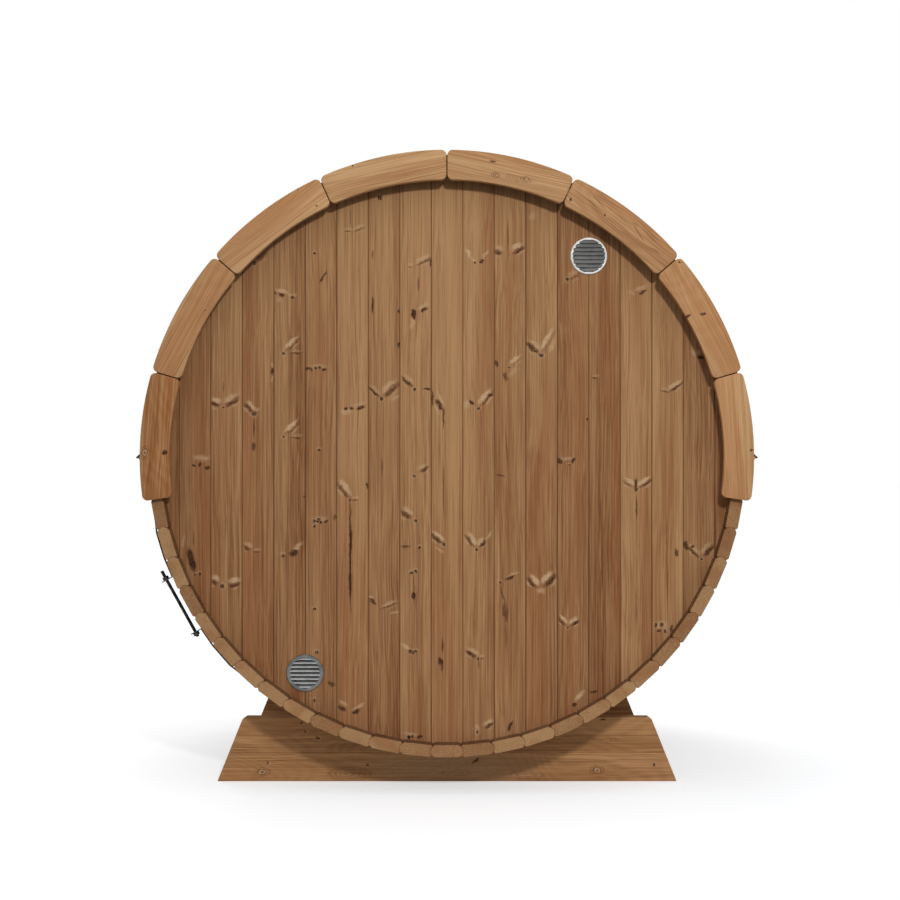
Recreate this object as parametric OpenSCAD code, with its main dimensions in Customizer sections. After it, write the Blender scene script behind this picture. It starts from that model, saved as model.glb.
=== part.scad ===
// Barrel sauna: a round cabin of bead-and-cove staves held by two steel bands and carried
// on two cradles. Black roofing covers its upper half and drips off a batten along each side.
// The rear end wall has two round vents, the front end wall a plain door.
// X runs across the barrel, Y from the rear wall to the front wall, Z up from the ground.

/* [Barrel] */
// Outside diameter over the flats of the staves
barrel_d = 2000; // [1600:10:2400]
// Length of the staves
barrel_l = 1800; // [1200:10:2600]
// Staves around the barrel
stave_count = 59; // [48:1:68]
// Thickness of a stave
stave_t = 42; // [36:1:50]
// Height of the barrel's lowest point above the ground
ground_gap = 128; // [60:1:200]

/* [Stave joint] */
// Radius of the bead on one edge of a stave
bead_r = 21; // [18:0.5:26]
// Height of the bead between the two notches beside it
bead_h = 31; // [24:0.5:32]
// Run of the notch on the bead's side, along its slope, per depth
bead_notch_slope = 1.45; // [1.2:0.05:2]
// Run of the notch on the cove's side, along its slope, per depth
cove_notch_slope = 1; // [0.6:0.05:1.4]

/* [End walls] */
// Thickness of the wall boards
wall_t = 40; // [28:1:48]
// Depth of the wall's outer face inside the stave ends
wall_inset = 56; // [40:1:120]
// Cover width of a wall board
board_w = 106.5; // [90:0.5:140]
// Depth of the groove in the staves that holds the wall
croze_depth = 12; // [6:1:16]
// Bevel along the edges of a board
board_bevel = 2.5; // [1:0.5:4]
// Thickness of a board's tongue
tongue_t = 10; // [6:0.5:12]
// Length of a board's tongue
tongue_l = 8; // [5:0.5:10]

/* [Fascia] */
// Fascia boards on each end
fascia_count = 8; // [4:2:10]
// Angle that the fascia covers around the barrel
fascia_sweep = 196.8; // [160:0.2:200]
// Width of a fascia board, across its curve
fascia_w = 100; // [80:1:130]
// Thickness of a fascia board
fascia_t = 28; // [18:1:40]
// How far the fascia stands out past the staves
fascia_overhang = 24; // [12:1:40]
// How far the fascia's centre lies above the barrel's axis
fascia_rise = 6; // [0:1:10]
// Gap between two fascia boards
fascia_gap = 3; // [2:0.5:6]
// Corner radius of a fascia board
fascia_corner_r = 18; // [6:1:20]

/* [Roofing] */
// Thickness of the roofing at the lower edge of a course
roof_t = 16; // [10:0.5:20]
// How far the lower edge of a course stands out over the course below it
course_step = 5; // [2:0.5:7]
// Courses on each side of the ridge
course_count = 10; // [7:1:14]
// Thickness of the drip edge
drip_t = 4.5; // [3:0.5:8]
// How far the drip edge runs out past its batten
drip_l = 5; // [2:0.5:12]
// Slope of the drip edge below the horizontal
drip_slope = 43; // [30:1:55]
// How far an eave batten stands out from the staves
batten_out = 33; // [20:1:45]
// Height of an eave batten's outer edge above the barrel's axis
batten_z = 4; // [0:1:20]
// Height of an eave batten below its outer edge
batten_drop = 57; // [30:1:80]

/* [Cradles] */
// Thickness of a cradle
cradle_t = 45; // [35:1:70]
// Height of a cradle
cradle_h = 224; // [200:1:280]
// Width of a cradle along the ground
cradle_foot_w = 1604; // [1500:2:1700]
// Width of a cradle along its top
cradle_top_w = 1424; // [1200:2:1480]
// Bevel on the upper corners of a cradle
cradle_bevel = 10; // [4:1:20]
// Distance from the stave ends to a cradle's outer face
cradle_inset = 250; // [120:5:400]

/* [Vents] */
// Outside diameter of a vent's flange
vent_d = 125; // [115:1:140]
// Diameter of the hole in the wall
vent_hole_d = 108; // [106:1:109]
// Thickness of a vent's flange
vent_flange_t = 6; // [4:0.5:10]
// Wall of a vent's tube
vent_tube_t = 2; // [1.5:0.1:3]
// Width of the upper vent's face outside its slots
upper_rim_w = 7; // [6:0.5:8]
// Width of the lower vent's face outside its slots
lower_rim_w = 11.5; // [10:0.5:13]
// Boards from the middle of the wall to each vent
vent_boards = 4.5; // [3.5:1:5.5]
// Wall left between the upper vent and the staves
upper_vent_margin = 60; // [20:1:120]
// Wall left between the lower vent and the staves
lower_vent_margin = 27; // [20:1:120]
// Louvre slots in a vent
slot_count = 8; // [5:1:8]
// Distance between slots
slot_pitch = 13.6; // [10:0.1:13.8]
// Radius of a slot's ends
slot_end_r = 8; // [7.5:0.1:9]
// Thickness of a louvre blade
blade_t = 1.8; // [1:0.1:2.4]
// Width of the upper vent's blades along their slope
upper_blade_w = 11; // [8:0.5:13.5]
// Slope of the upper vent's blades below the horizontal
upper_blade_tilt = 68; // [20:1:70]
// Width of the lower vent's blades along their slope
lower_blade_w = 7; // [6:0.5:13.5]
// Slope of the lower vent's blades below the horizontal
lower_blade_tilt = 28; // [20:1:70]

/* [Bands] */
// Width of a band
band_w = 25; // [16:1:40]
// Thickness of a band
band_t = 1.5; // [1:0.1:3]
// Distance from the stave ends to a band's middle
band_inset = 62; // [40:1:120]
// Angle of the tensioner below the horizontal
tensioner_angle = 29; // [10:1:40]
// Distance between the two lugs of a band
lug_span = 198; // [160:2:280]
// Height of the lugs' feet above the barrel's curve
lug_lift = 10; // [6:0.5:16]
// Height of the band's bow off the barrel beside each lug
bow_lift = 11.5; // [10:0.5:16]
// Angle from a lug to where the band's bow is first at its height
bow_start = 4; // [3:0.5:5]
// Angle from a lug to where the band's bow is last at its height
bow_end = 9; // [7:0.5:10]
// Length of a lug
lug_l = 39; // [34:1:60]
// Thickness of a lug
lug_t = 3; // [2:0.5:5]
// Distance from a lug's foot to the tensioner rod
rod_height = 23; // [18:0.5:26]
// Diameter of the tensioner rod
rod_d = 12; // [9:0.5:14]
// Width of the tensioner's nuts across their corners
nut_d = 22; // [19:0.5:24]
// Thickness of the tensioner's nuts
nut_t = 9; // [5:0.5:12]
// Diameter of the washers under the nuts
washer_d = 24; // [20:0.5:26]
// Thickness of the washers
washer_t = 1.6; // [1:0.1:3]
// Length of the rod past the upper nut
upper_rod_tail = 22; // [6:1:40]
// Length of the rod past the lower nut
lower_rod_tail = 5; // [2:1:40]

/* [Door] */
// Wall boards that the doorway takes the place of
doorway_boards = 7; // [5:2:7]
// Wall left between the doorway's upper corners and the staves
doorway_top_margin = 75; // [30:1:200]
// Wall left between the doorway's lower corners and the staves
doorway_bottom_margin = 57; // [30:1:200]
// Width of the door frame's members
frame_w = 45; // [35:1:60]
// How far the frame stands out past the wall on both sides
frame_lip = 8; // [2:1:12]
// Gap around the door leaf
leaf_gap = 4; // [3:0.5:6]
// Boards in the door leaf
leaf_boards = 6; // [4:1:8]
// Thickness of the door leaf's boards
leaf_t = 30; // [26:1:36]
// Ledges across the back of the leaf
ledge_count = 3; // [2:1:4]
// Width of a ledge
ledge_w = 95; // [70:1:120]
// Thickness of a ledge
ledge_t = 24; // [18:1:30]
// Height of a hinge plate
hinge_h = 60; // [40:1:90]
// Width of a hinge
hinge_w = 80; // [60:1:84]
// Diameter of a hinge's knuckle
knuckle_d = 12; // [9:0.5:16]
// Length of the door handle
handle_l = 340; // [200:5:500]
// Diameter of the handle's bar
handle_d = 30; // [22:1:38]

/* [Hidden] */
$fn = 180;
// Clearance between pieces that seat on each other
fit = 0.3;
// Overlap that makes cuts run clear through
over = 1;

// Barrel: radii from the axis, and angles around it
outer_r = barrel_d / 2;
inner_r = outer_r - stave_t;
middle_r = outer_r - stave_t / 2;
stave_angle = 360 / stave_count;
key_stave = floor(stave_count / 2);
end_y = barrel_l / 2;

// Stave joint: the bead's centre lies behind the joint line, in the stave that has the bead
bead_half = bead_h / 2;
cove_r = bead_r + fit;
bead_reach = sqrt(bead_r * bead_r - bead_half * bead_half);
cove_reach = sqrt(cove_r * cove_r - bead_half * bead_half);
joint_offset = (bead_reach + bead_r) / 2;
pivot_r = middle_r / cos(stave_angle / 2);
offset_angle = asin(joint_offset / pivot_r);

// The notch beside a bead begins on the stave's outer flat, which is what bands and cradles touch
bead_flat_y = pivot_r * sin(stave_angle / 2 - offset_angle)
    + bead_reach - (outer_r - pivot_r * cos(stave_angle / 2 - offset_angle) - bead_half) * bead_notch_slope;
seat_r = sqrt(outer_r * outer_r + bead_flat_y * bead_flat_y);
axis_z = ground_gap + outer_r;

// End walls
croze_r = inner_r + croze_depth;
wall_r = croze_r - fit;
wall_y = end_y - wall_inset;
side_boards = floor(wall_r / board_w + 0.5 - 0.02);

// Fascia
fascia_angle = fascia_sweep / fascia_count;
fascia_outer_r = outer_r + fascia_overhang;
fascia_inner_r = fascia_outer_r - fascia_w;

// Roofing, in courses from the eave battens up to a ridge cap of one course's width
roof_r = seat_r + fit;
batten_tip = [roof_r + batten_out, batten_z];
eave_angle = asin((batten_z + batten_out * tan(drip_slope) + over) / roof_r);
course_angle = (90 - eave_angle) / (course_count + 0.5);
joint_angle = asin(fit / 2 / roof_r);

// Cradles
saddle_r = seat_r + fit;

// Vents
vent_x = vent_boards * board_w;
upper_vent_z = sqrt(pow(inner_r - upper_vent_margin - vent_d / 2, 2) - vent_x * vent_x);
lower_vent_z = sqrt(pow(inner_r - lower_vent_margin - vent_d / 2, 2) - vent_x * vent_x);
vent_tube_r = vent_hole_d / 2 - fit;
vent_bore_r = vent_tube_r - vent_tube_t;
upper_reach = vent_d / 2 - upper_rim_w;
lower_reach = vent_d / 2 - lower_rim_w;

// Bands
band_r = seat_r + fit;
lug_foot = sqrt(outer_r * outer_r - lug_span * lug_span / 4) + lug_lift;
rod_r = lug_foot + rod_height;
nut_x = lug_span / 2 + lug_t + fit;
rod_end_x = nut_x + washer_t + nut_t;
lug_angle = atan2(lug_span / 2, lug_foot);
lift_angle = lug_angle + bow_end + acos(band_r / (band_r + bow_lift));

// Door
doorway_w = doorway_boards * board_w;
doorway_top = sqrt(pow(inner_r - doorway_top_margin, 2) - pow(doorway_w / 2, 2));
doorway_bottom = sqrt(pow(inner_r - doorway_bottom_margin, 2) - pow(doorway_w / 2, 2));
leaf_w = doorway_w - 2 * (fit + frame_w + leaf_gap);
leaf_top = doorway_top - fit - frame_w - leaf_gap;
leaf_bottom = fit + frame_w + leaf_gap - doorway_bottom;
leaf_h = leaf_top - leaf_bottom;
leaf_board_w = leaf_w / leaf_boards;
frame_y = wall_y + frame_lip;

wood = "#9b6f48";
pale_wood = "#b48454";
dark_wood = "#8a5f3c";
steel = "#2c2d2e";
grey_metal = "#8d9091";
white_plastic = "#e8e9ea";
black_felt = "#1c1c1d";

sector_names = [
    "staves_floor", "staves_lower_right", "staves_right_side", "staves_upper_right",
    "staves_roof", "staves_upper_left", "staves_left_side", "staves_lower_left"
];
ends = ["rear", "front"];
wall_names = [
    "rear_wall", "front_wall_left", "front_wall_right", "front_wall_above_door", "front_wall_below_door"
];
vent_names = [
    "upper_vent_ring", "upper_vent_louvres", "lower_vent_ring", "lower_vent_louvres"
];
door_names = ["door_frame", "door_leaf", "door_hinges", "door_handle"];
roof_names = ["roofing", "eave_battens"];

// Points along an arc, from angle a0 to a1
function arc(centre, r, a0, a1, steps) =
    [for (s = [0:steps]) centre + r * [cos(a0 + (a1 - a0) * s / steps), sin(a0 + (a1 - a0) * s / steps)]];
function polar(r, a) = [r * cos(a), r * sin(a)];

// Extrudes a shape drawn in the barrel's cross-section, from y to y + length
module along_barrel(y, length) {
    translate([0, y + length, axis_z]) rotate([90, 0, 0]) linear_extrude(length) children();
}

// Puts rear-end pieces, drawn at -Y, on the rear or the front end
module at_end(end) {
    if (end == "rear") children();
    else mirror([0, 1, 0]) children();
}

// A disc across the barrel, from y to y + length
module disc(r, y, length) {
    translate([0, y + length, axis_z]) rotate([90, 0, 0]) cylinder(r = r, h = length);
}

// Staves. In a stave's section X is radial and +Y is the way round from rear view left to right.
// The lowest stave has two beads, the key stave at the top has two coves, and the others
// have a cove below and a bead above.
function bead_before(i) = i == 0 || i > key_stave;
function bead_after(i) = i == 0 || i < key_stave;
function pivot(side, bead) = polar(pivot_r, side * (stave_angle / 2 + (bead ? -offset_angle : offset_angle)));
// Distance from a pivot along the stave's edge, at height x, on the notch's straight line
function bead_edge(p, x) = bead_reach - (abs(x - p.x) - bead_half) * bead_notch_slope;
function cove_edge(p, x) = -cove_reach - (abs(x - p.x) - bead_half) * cove_notch_slope;
function edge_y(side, p, bead, x) = p.y + side * (bead ? bead_edge(p, x) : cove_edge(p, x));
function edge_points(side, bead) =
    let (p = pivot(side, bead))
    [for (x = [outer_r, p.x, inner_r]) [x, edge_y(side, p, bead, x)]];

module stave_section(before, after) {
    before_edge = edge_points(-1, before);
    after_edge = edge_points(1, after);
    p_before = pivot(-1, before);
    p_after = pivot(1, after);
    low_y = before ? p_before.y - bead_reach + over : p_before.y;
    high_y = after ? p_after.y + bead_reach - over : p_after.y;
    difference() {
        intersection() {
            polygon(concat(after_edge, [for (k = [2:-1:0]) before_edge[k]]));
            union() {
                translate([inner_r - over, low_y]) square([stave_t + 2 * over, high_y - low_y]);
                if (before) translate(p_before) circle(bead_r);
                if (after) translate(p_after) circle(bead_r);
            }
        }
        if (!before) translate(p_before) circle(cove_r);
        if (!after) translate(p_after) circle(cove_r);
    }
}

module stave(i) {
    difference() {
        along_barrel(-end_y, barrel_l)
            rotate(i * stave_angle - 90) stave_section(bead_before(i), bead_after(i));
        disc(croze_r, -wall_y - fit, wall_t + 2 * fit);
        disc(croze_r, wall_y - wall_t - fit, wall_t + 2 * fit);
    }
}

function sector_of(i) = floor((i * 8 / stave_count + 0.5) % 8);
module stave_sector(s) {
    color(wood) for (i = [0:stave_count - 1]) if (sector_of(i) == s) stave(i);
}

// Tongue-and-groove boards. The section has its outer face on -Y and the tongue on +X.
module board_section(w, t) {
    side = (w - fit) / 2;
    b = board_bevel;
    tongue = tongue_t / 2;
    groove = tongue_t / 2 + fit;
    mid = t / 2;
    polygon([
        [-side, b], [b - side, 0], [side - b, 0], [side, b],
        [side, mid - tongue], [side + tongue_l, mid - tongue],
        [side + tongue_l, mid + tongue], [side, mid + tongue],
        [side, t - b], [side - b, t], [b - side, t], [-side, t - b],
        [-side, mid + groove], [tongue_l + fit - side, mid + groove],
        [tongue_l + fit - side, mid - groove], [-side, mid - groove]
    ]);
}

// One full-height board of an end wall, drawn on the rear end
module wall_board(i) {
    intersection() {
        translate([i * board_w, -wall_y, axis_z - wall_r - over])
            linear_extrude(2 * (wall_r + over)) board_section(board_w, wall_t);
        disc(wall_r, -wall_y - over, wall_t + 2 * over);
    }
}

module vent_hole(x, z) {
    translate([x, over - wall_y + wall_t, axis_z + z]) rotate([90, 0, 0])
        cylinder(d = vent_hole_d, h = wall_t + 2 * over);
}

module rear_wall() {
    color(wood) for (i = [-side_boards:side_boards]) difference() {
        wall_board(i);
        vent_hole(vent_x, upper_vent_z);
        vent_hole(-vent_x, -lower_vent_z);
    }
}

// The front wall is the rear wall turned about, with a doorway in place of the vents
module front_board(i) {
    rotate(180) wall_board(-i);
}

module doorway() {
    translate([-doorway_w / 2, wall_y - wall_t - over, axis_z - doorway_bottom])
        cube([doorway_w, wall_t + 2 * over, doorway_top + doorway_bottom]);
}

module front_wall_side(side) {
    half = (doorway_boards - 1) / 2;
    color(wood) for (k = [half + 1:side_boards]) difference() {
        front_board(side * k);
        doorway();
    }
}

module front_wall_part(low, high) {
    half = (doorway_boards - 1) / 2;
    color(wood) for (i = [-half:half]) intersection() {
        front_board(i);
        translate([-doorway_w, wall_y - wall_t - over, axis_z + low])
            cube([2 * doorway_w, wall_t + 2 * over, high - low]);
    }
}

// Vents: a flange with round-ended slots that run into each other, so its inner edge is scalloped,
// a tube through the wall behind it, and a sloping blade in each slot
module on_rear_wall(x, z) {
    translate([x, -wall_y - fit, axis_z + z]) rotate([90, 0, 0]) children();
}

module at_upper_vent() {
    on_rear_wall(vent_x, upper_vent_z) children();
}

module at_lower_vent() {
    on_rear_wall(-vent_x, -lower_vent_z) children();
}

function slot_y(k) = (k - (slot_count - 1) / 2) * slot_pitch;
// Half the length of a slot between the centres of its round ends
function slot_half(k, reach) =
    max(1, sqrt(max(0, pow(reach, 2) - pow(abs(slot_y(k)) - slot_pitch / 4, 2))) - slot_end_r);

module slots(reach, shrink) {
    r = slot_pitch / 2 + fit - shrink;
    intersection() {
        for (k = [0:slot_count - 1]) translate([0, slot_y(k)]) intersection() {
            square([vent_d, 2 * r], center = true);
            union() {
                square([2 * slot_half(k, reach), 2 * r], center = true);
                for (side = [-1, 1]) translate([side * slot_half(k, reach), 0]) circle(slot_end_r - shrink);
            }
        }
        circle(reach + over - shrink);
    }
}

module vent_ring(tint, reach) {
    lip = vent_flange_t / 3;
    color(tint) difference() {
        rotate_extrude() polygon([
            [0, 0], [vent_bore_r, 0], [vent_bore_r, -wall_t], [vent_tube_r, -wall_t], [vent_tube_r, 0],
            [vent_d / 2, 0], [vent_d / 2, lip], [vent_d / 2 - lip, vent_flange_t], [0, vent_flange_t]
        ]);
        translate([0, 0, -over]) linear_extrude(vent_flange_t + 2 * over) slots(reach, 0);
    }
}

module vent_louvres(tint, reach, w, tilt) {
    depth = w * cos(tilt) + blade_t * sin(tilt);
    color(tint) for (k = [0:slot_count - 1]) intersection() {
        translate([0, slot_y(k), fit + depth / 2]) rotate([tilt, 0, 0])
            cube([vent_d, blade_t, w], center = true);
        linear_extrude(depth + 2 * fit) intersection() {
            slots(reach, fit);
            translate([0, slot_y(k)]) square([vent_d, slot_pitch - fit], center = true);
        }
    }
}

// Fascia boards, numbered from the left end over the top to the right end
module fascia_outline() {
    r = fascia_corner_r;
    half = fascia_angle / 2;
    inset = fascia_gap / 2 + r;
    outer_a = half - asin(inset / (fascia_outer_r - r));
    inner_a = half - asin(inset / (fascia_inner_r + r));
    corner = 6;
    long = 16;
    polygon(concat(
        arc([0, 0], fascia_outer_r, -outer_a, outer_a, long),
        arc(polar(fascia_outer_r - r, outer_a), r, outer_a, half + 90, corner),
        arc(polar(fascia_inner_r + r, inner_a), r, half + 90, inner_a + 180, corner),
        arc([0, 0], fascia_inner_r, inner_a, -inner_a, long),
        arc(polar(fascia_inner_r + r, -inner_a), r, 180 - inner_a, 270 - half, corner),
        arc(polar(fascia_outer_r - r, -outer_a), r, -90 - half, -outer_a, corner)
    ));
}

module fascia(end, k) {
    color(pale_wood) at_end(end) translate([0, 0, fascia_rise])
        along_barrel(-end_y - fascia_t, fascia_t)
            rotate(90 + ((fascia_count + 1) / 2 - k) * fascia_angle) fascia_outline();
}

// Roofing. A course is thickest at its lower edge and thins towards the course that laps over it.
// Sections are drawn on the right side.
function course_low(k) = eave_angle + k * course_angle + joint_angle;
function course_high(k) = eave_angle + (k + 1) * course_angle - joint_angle;

module strip_section(low, high, low_t, high_t) {
    steps = 6;
    polygon(concat(
        arc([0, 0], roof_r, low, high, steps),
        [for (s = [0:steps]) polar(roof_r + high_t + (low_t - high_t) * s / steps, high + (low - high) * s / steps)]
    ));
}

// The lowest course leaves the staves over the batten and ends in a drip edge
module drip_section() {
    run = [cos(drip_slope), -sin(drip_slope)];
    rise = [sin(drip_slope), cos(drip_slope)];
    end = batten_tip + fit * rise + drip_l * run;
    back = end - (drip_l + 2 * batten_out) * run;
    difference() {
        union() {
            strip_section(course_low(0), course_high(0), drip_t, roof_t - course_step);
            polygon([end, end + drip_t * rise, back + drip_t * rise, back]);
        }
        circle(roof_r);
    }
}

// Cuts room for the bands, which run round the staves under the roofing
module clear_of_bands() {
    difference() {
        children();
        for (e = ends) at_end(e)
            disc(band_r + band_t + fit, band_inset - band_w / 2 - fit - end_y, band_w + 2 * fit);
    }
}

module roof_strip() {
    clear_of_bands() along_barrel(fit - end_y, barrel_l - 2 * fit) children();
}

module roofing() {
    color(black_felt) {
        for (side = [0, 1]) mirror([side, 0, 0]) {
            roof_strip() drip_section();
            for (k = [1:course_count - 1]) roof_strip()
                strip_section(course_low(k), course_high(k), roof_t, roof_t - course_step);
        }
        roof_strip() strip_section(course_low(course_count), 180 - course_low(course_count), roof_t, roof_t);
    }
}

// Eave battens: wedges along the sides that carry the drip edge
module eave_battens() {
    behind = batten_out / 2;
    top = batten_tip + (batten_out + behind) * [-1, tan(drip_slope)];
    low = batten_tip + (batten_out + behind) * [-1, -batten_drop / batten_out];
    color(pale_wood) for (side = [0, 1]) mirror([side, 0, 0]) roof_strip() difference() {
        polygon([low, batten_tip, top]);
        circle(roof_r);
    }
}

// Cradles: trapezoid boards with a round saddle
module cradle(end) {
    foot = cradle_foot_w / 2;
    top = cradle_top_w / 2;
    slope = (foot - top) / cradle_h;
    color(dark_wood) at_end(end) along_barrel(cradle_inset - end_y, cradle_t) difference() {
        translate([0, -axis_z]) polygon([
            [-foot, 0], [foot, 0],
            [top + slope * cradle_bevel, cradle_h - cradle_bevel], [top - cradle_bevel, cradle_h],
            [cradle_bevel - top, cradle_h], [-top - slope * cradle_bevel, cradle_h - cradle_bevel]
        ]);
        circle(saddle_r);
    }
}

// Bands. The strap lies on the flats of the staves, bows off them on each side of the tensioner and
// turns up into a lug there. Its section is drawn with the tensioner at the top.
function strap_path(r, foot, lug_x) =
    let (rest = 360 - 2 * lift_angle, steps = round(rest / stave_angle), top = lug_foot + lug_l)
    concat(
        [[-lug_x, top], [-lug_x, foot]],
        [for (a = [bow_start, bow_end]) polar(r + bow_lift, 90 + lug_angle + a)],
        [for (s = [0:steps]) polar(r, 90 + lift_angle + rest * s / steps)],
        [for (a = [bow_end, bow_start]) polar(r + bow_lift, 90 - lug_angle - a)],
        [[lug_x, foot], [lug_x, top]]
    );

module band_section() {
    inner = strap_path(band_r, lug_foot, lug_span / 2);
    outer = strap_path(band_r + band_t, lug_foot + band_t, lug_span / 2 + lug_t);
    polygon(concat(inner, [for (k = [len(outer) - 1:-1:0]) outer[k]]));
}

module turn_to_tensioner() {
    rotate(90 + tensioner_angle) children();
}

module at_tensioner() {
    translate([0, band_inset - end_y, axis_z]) rotate([90, 0, 0]) turn_to_tensioner() children();
}

module band(end) {
    color(steel) at_end(end) difference() {
        along_barrel(band_inset - band_w / 2 - end_y, band_w) turn_to_tensioner() band_section();
        at_tensioner() translate([0, rod_r, 0]) rotate([0, 90, 0])
            cylinder(d = rod_d + 2 * fit, h = 2 * lug_span, center = true);
    }
}

// The tensioner is a threaded rod with a washer and a nut outside each lug
module tensioner(end) {
    color(steel) at_end(end) at_tensioner() translate([0, rod_r, 0]) {
        translate([-rod_end_x - lower_rod_tail, 0, 0]) rotate([0, 90, 0])
            cylinder(d = rod_d, h = 2 * rod_end_x + lower_rod_tail + upper_rod_tail);
        for (side = [0, 180]) rotate([0, side, 0]) translate([nut_x, 0, 0]) rotate([0, 90, 0]) {
            cylinder(d = washer_d, h = washer_t);
            cylinder(d = nut_d, h = washer_t + nut_t, $fn = 6);
        }
    }
}

// Door: a frame that lines the doorway, and a ledged leaf of boards hung in it
module door_jambs() {
    color(dark_wood) for (side = [-1, 1])
        translate([side * (doorway_w - frame_w) / 2 - side * fit - frame_w / 2, wall_y - wall_t - frame_lip,
                axis_z - doorway_bottom + fit])
            cube([frame_w, wall_t + 2 * frame_lip, doorway_top + doorway_bottom - 2 * fit]);
}

module door_rail(low) {
    length = doorway_w - 2 * (frame_w + 2 * fit);
    translate([-length / 2, wall_y - wall_t - frame_lip, axis_z + low])
        cube([length, wall_t + 2 * frame_lip, frame_w]);
}

module door_head_and_sill() {
    color(dark_wood) {
        door_rail(doorway_top - fit - frame_w);
        door_rail(fit - doorway_bottom);
    }
}

module door_boards() {
    color(wood) for (k = [0:leaf_boards - 1]) intersection() {
        translate([(k - (leaf_boards - 1) / 2) * leaf_board_w, frame_y - leaf_t, axis_z + leaf_bottom])
            linear_extrude(leaf_h) board_section(leaf_board_w, leaf_t);
        translate([-leaf_w / 2, frame_y - leaf_t - over, axis_z + leaf_bottom - over])
            cube([leaf_w, leaf_t + 2 * over, leaf_h + 2 * over]);
    }
}

module door_ledges() {
    span = leaf_h - 3 * ledge_w;
    color(wood) for (k = [0:ledge_count - 1])
        translate([-leaf_w / 2 + ledge_w / 2, frame_y - leaf_t - fit - ledge_t,
                axis_z + leaf_bottom + ledge_w + span * k / (ledge_count - 1)])
            cube([leaf_w - ledge_w, ledge_t, ledge_w]);
}

module door_hinges() {
    plate_t = knuckle_d / 4;
    hinge_x = -leaf_w / 2 - leaf_gap / 2;
    color(steel) for (low = [leaf_bottom + 2 * hinge_h, leaf_top - 3 * hinge_h])
        translate([hinge_x, frame_y + fit, axis_z + low]) {
            translate([-hinge_w / 2, 0, 0]) cube([hinge_w, plate_t, hinge_h]);
            translate([0, knuckle_d / 2, 0]) cylinder(d = knuckle_d, h = hinge_h);
        }
}

module door_handle() {
    stand = 1.2 * handle_d;
    post_d = 0.8 * handle_d;
    post_z = handle_l / 2 - handle_d;
    color(dark_wood) translate([leaf_w / 2 - 2 * handle_d, frame_y + fit, axis_z]) {
        translate([0, stand, -handle_l / 2]) cylinder(d = handle_d, h = handle_l);
        for (side = [-1, 1]) translate([0, 0, side * post_z]) rotate([-90, 0, 0])
            cylinder(d = post_d, h = stand);
    }
}

for (s = [0:7]) stave_sector(s);
rear_wall();
front_wall_side(-1);  // front_wall_left
front_wall_side(1);  // front_wall_right
front_wall_part(doorway_top, wall_r + over);  // front_wall_above_door
front_wall_part(-wall_r - over, -doorway_bottom);  // front_wall_below_door
at_upper_vent() vent_ring(white_plastic, upper_reach);  // upper_vent_ring
at_upper_vent() vent_louvres(grey_metal, upper_reach, upper_blade_w, upper_blade_tilt);  // upper_vent_louvres
at_lower_vent() vent_ring(grey_metal, lower_reach);  // lower_vent_ring
at_lower_vent() vent_louvres(grey_metal, lower_reach, lower_blade_w, lower_blade_tilt);  // lower_vent_louvres
union() {  // door_frame
    door_jambs();
    door_head_and_sill();
}
union() {  // door_leaf
    door_boards();
    door_ledges();
}
door_hinges();
door_handle();
roofing();
eave_battens();
for (e = ends) {
    cradle(e);
    band(e);
    tensioner(e);
    for (k = [1:fascia_count]) fascia(e, k);
}
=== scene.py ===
"""Looks of the barrel sauna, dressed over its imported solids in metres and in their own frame."""
import math
import random

import bmesh
import bpy
from mathutils import Matrix, Vector


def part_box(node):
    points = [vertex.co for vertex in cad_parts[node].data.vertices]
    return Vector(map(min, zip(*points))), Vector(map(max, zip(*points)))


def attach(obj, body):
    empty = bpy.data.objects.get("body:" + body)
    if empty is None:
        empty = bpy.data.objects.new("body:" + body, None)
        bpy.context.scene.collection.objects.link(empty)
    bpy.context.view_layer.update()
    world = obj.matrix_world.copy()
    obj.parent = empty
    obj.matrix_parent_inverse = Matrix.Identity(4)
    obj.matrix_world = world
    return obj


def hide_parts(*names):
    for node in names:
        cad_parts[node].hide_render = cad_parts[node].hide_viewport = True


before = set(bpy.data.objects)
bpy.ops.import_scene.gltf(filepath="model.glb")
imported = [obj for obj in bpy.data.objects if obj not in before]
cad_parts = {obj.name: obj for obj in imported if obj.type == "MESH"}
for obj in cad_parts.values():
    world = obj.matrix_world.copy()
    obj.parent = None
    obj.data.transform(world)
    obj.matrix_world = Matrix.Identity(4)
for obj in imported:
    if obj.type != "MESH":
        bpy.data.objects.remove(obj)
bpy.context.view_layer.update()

# Sizes that the source also has, in metres
AXIS_Z = 1.128
BARREL_R = 1.0
STAVE_COUNT = 59
END_Y = 0.9
BOARD_W = 0.1065
TONGUE_L = 0.010
FASCIA_COUNT = 8
FASCIA_ANGLE = math.radians(24.6)
FASCIA_RISE = 0.006
FASCIA_MID_R = 0.974
CRADLE_GLUE_LINES = (0.100, 0.160)
CRADLE_H = 0.224
ROOF_T = 0.016
COURSE_STEP = 0.005
COURSE_COUNT = 10
BATTEN_OUT = 0.033
BATTEN_Z = 0.004
DRIP_SLOPE = math.radians(43)
BAND_INSET = 0.062
TENSIONER_ANGLE = math.radians(29)
LUG_SPAN = 0.198
LUG_LIFT = 0.010
LUG_T = 0.003
ROD_HEIGHT = 0.023
ROD_D = 0.012
NUT_D = 0.022
NUT_T = 0.009
WASHER_D = 0.024
WASHER_T = 0.0016
UPPER_ROD_TAIL = 0.022
LOWER_ROD_TAIL = 0.005
FIT = 0.0003
STAVE_STEP = 2 * math.pi / STAVE_COUNT
MM = 0.001

# Eased edges
STAVE_EASE = 0.0012
FASCIA_EASE = 0.003
PLANK_EASE = 0.0012
BATTEN_EASE = 0.0015
POST_EASE = 0.002
HINGE_EASE = 0.0006

# Chance, always drawn in the same order
rng = random.Random(41)
knot_rng = random.Random(11)


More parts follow.
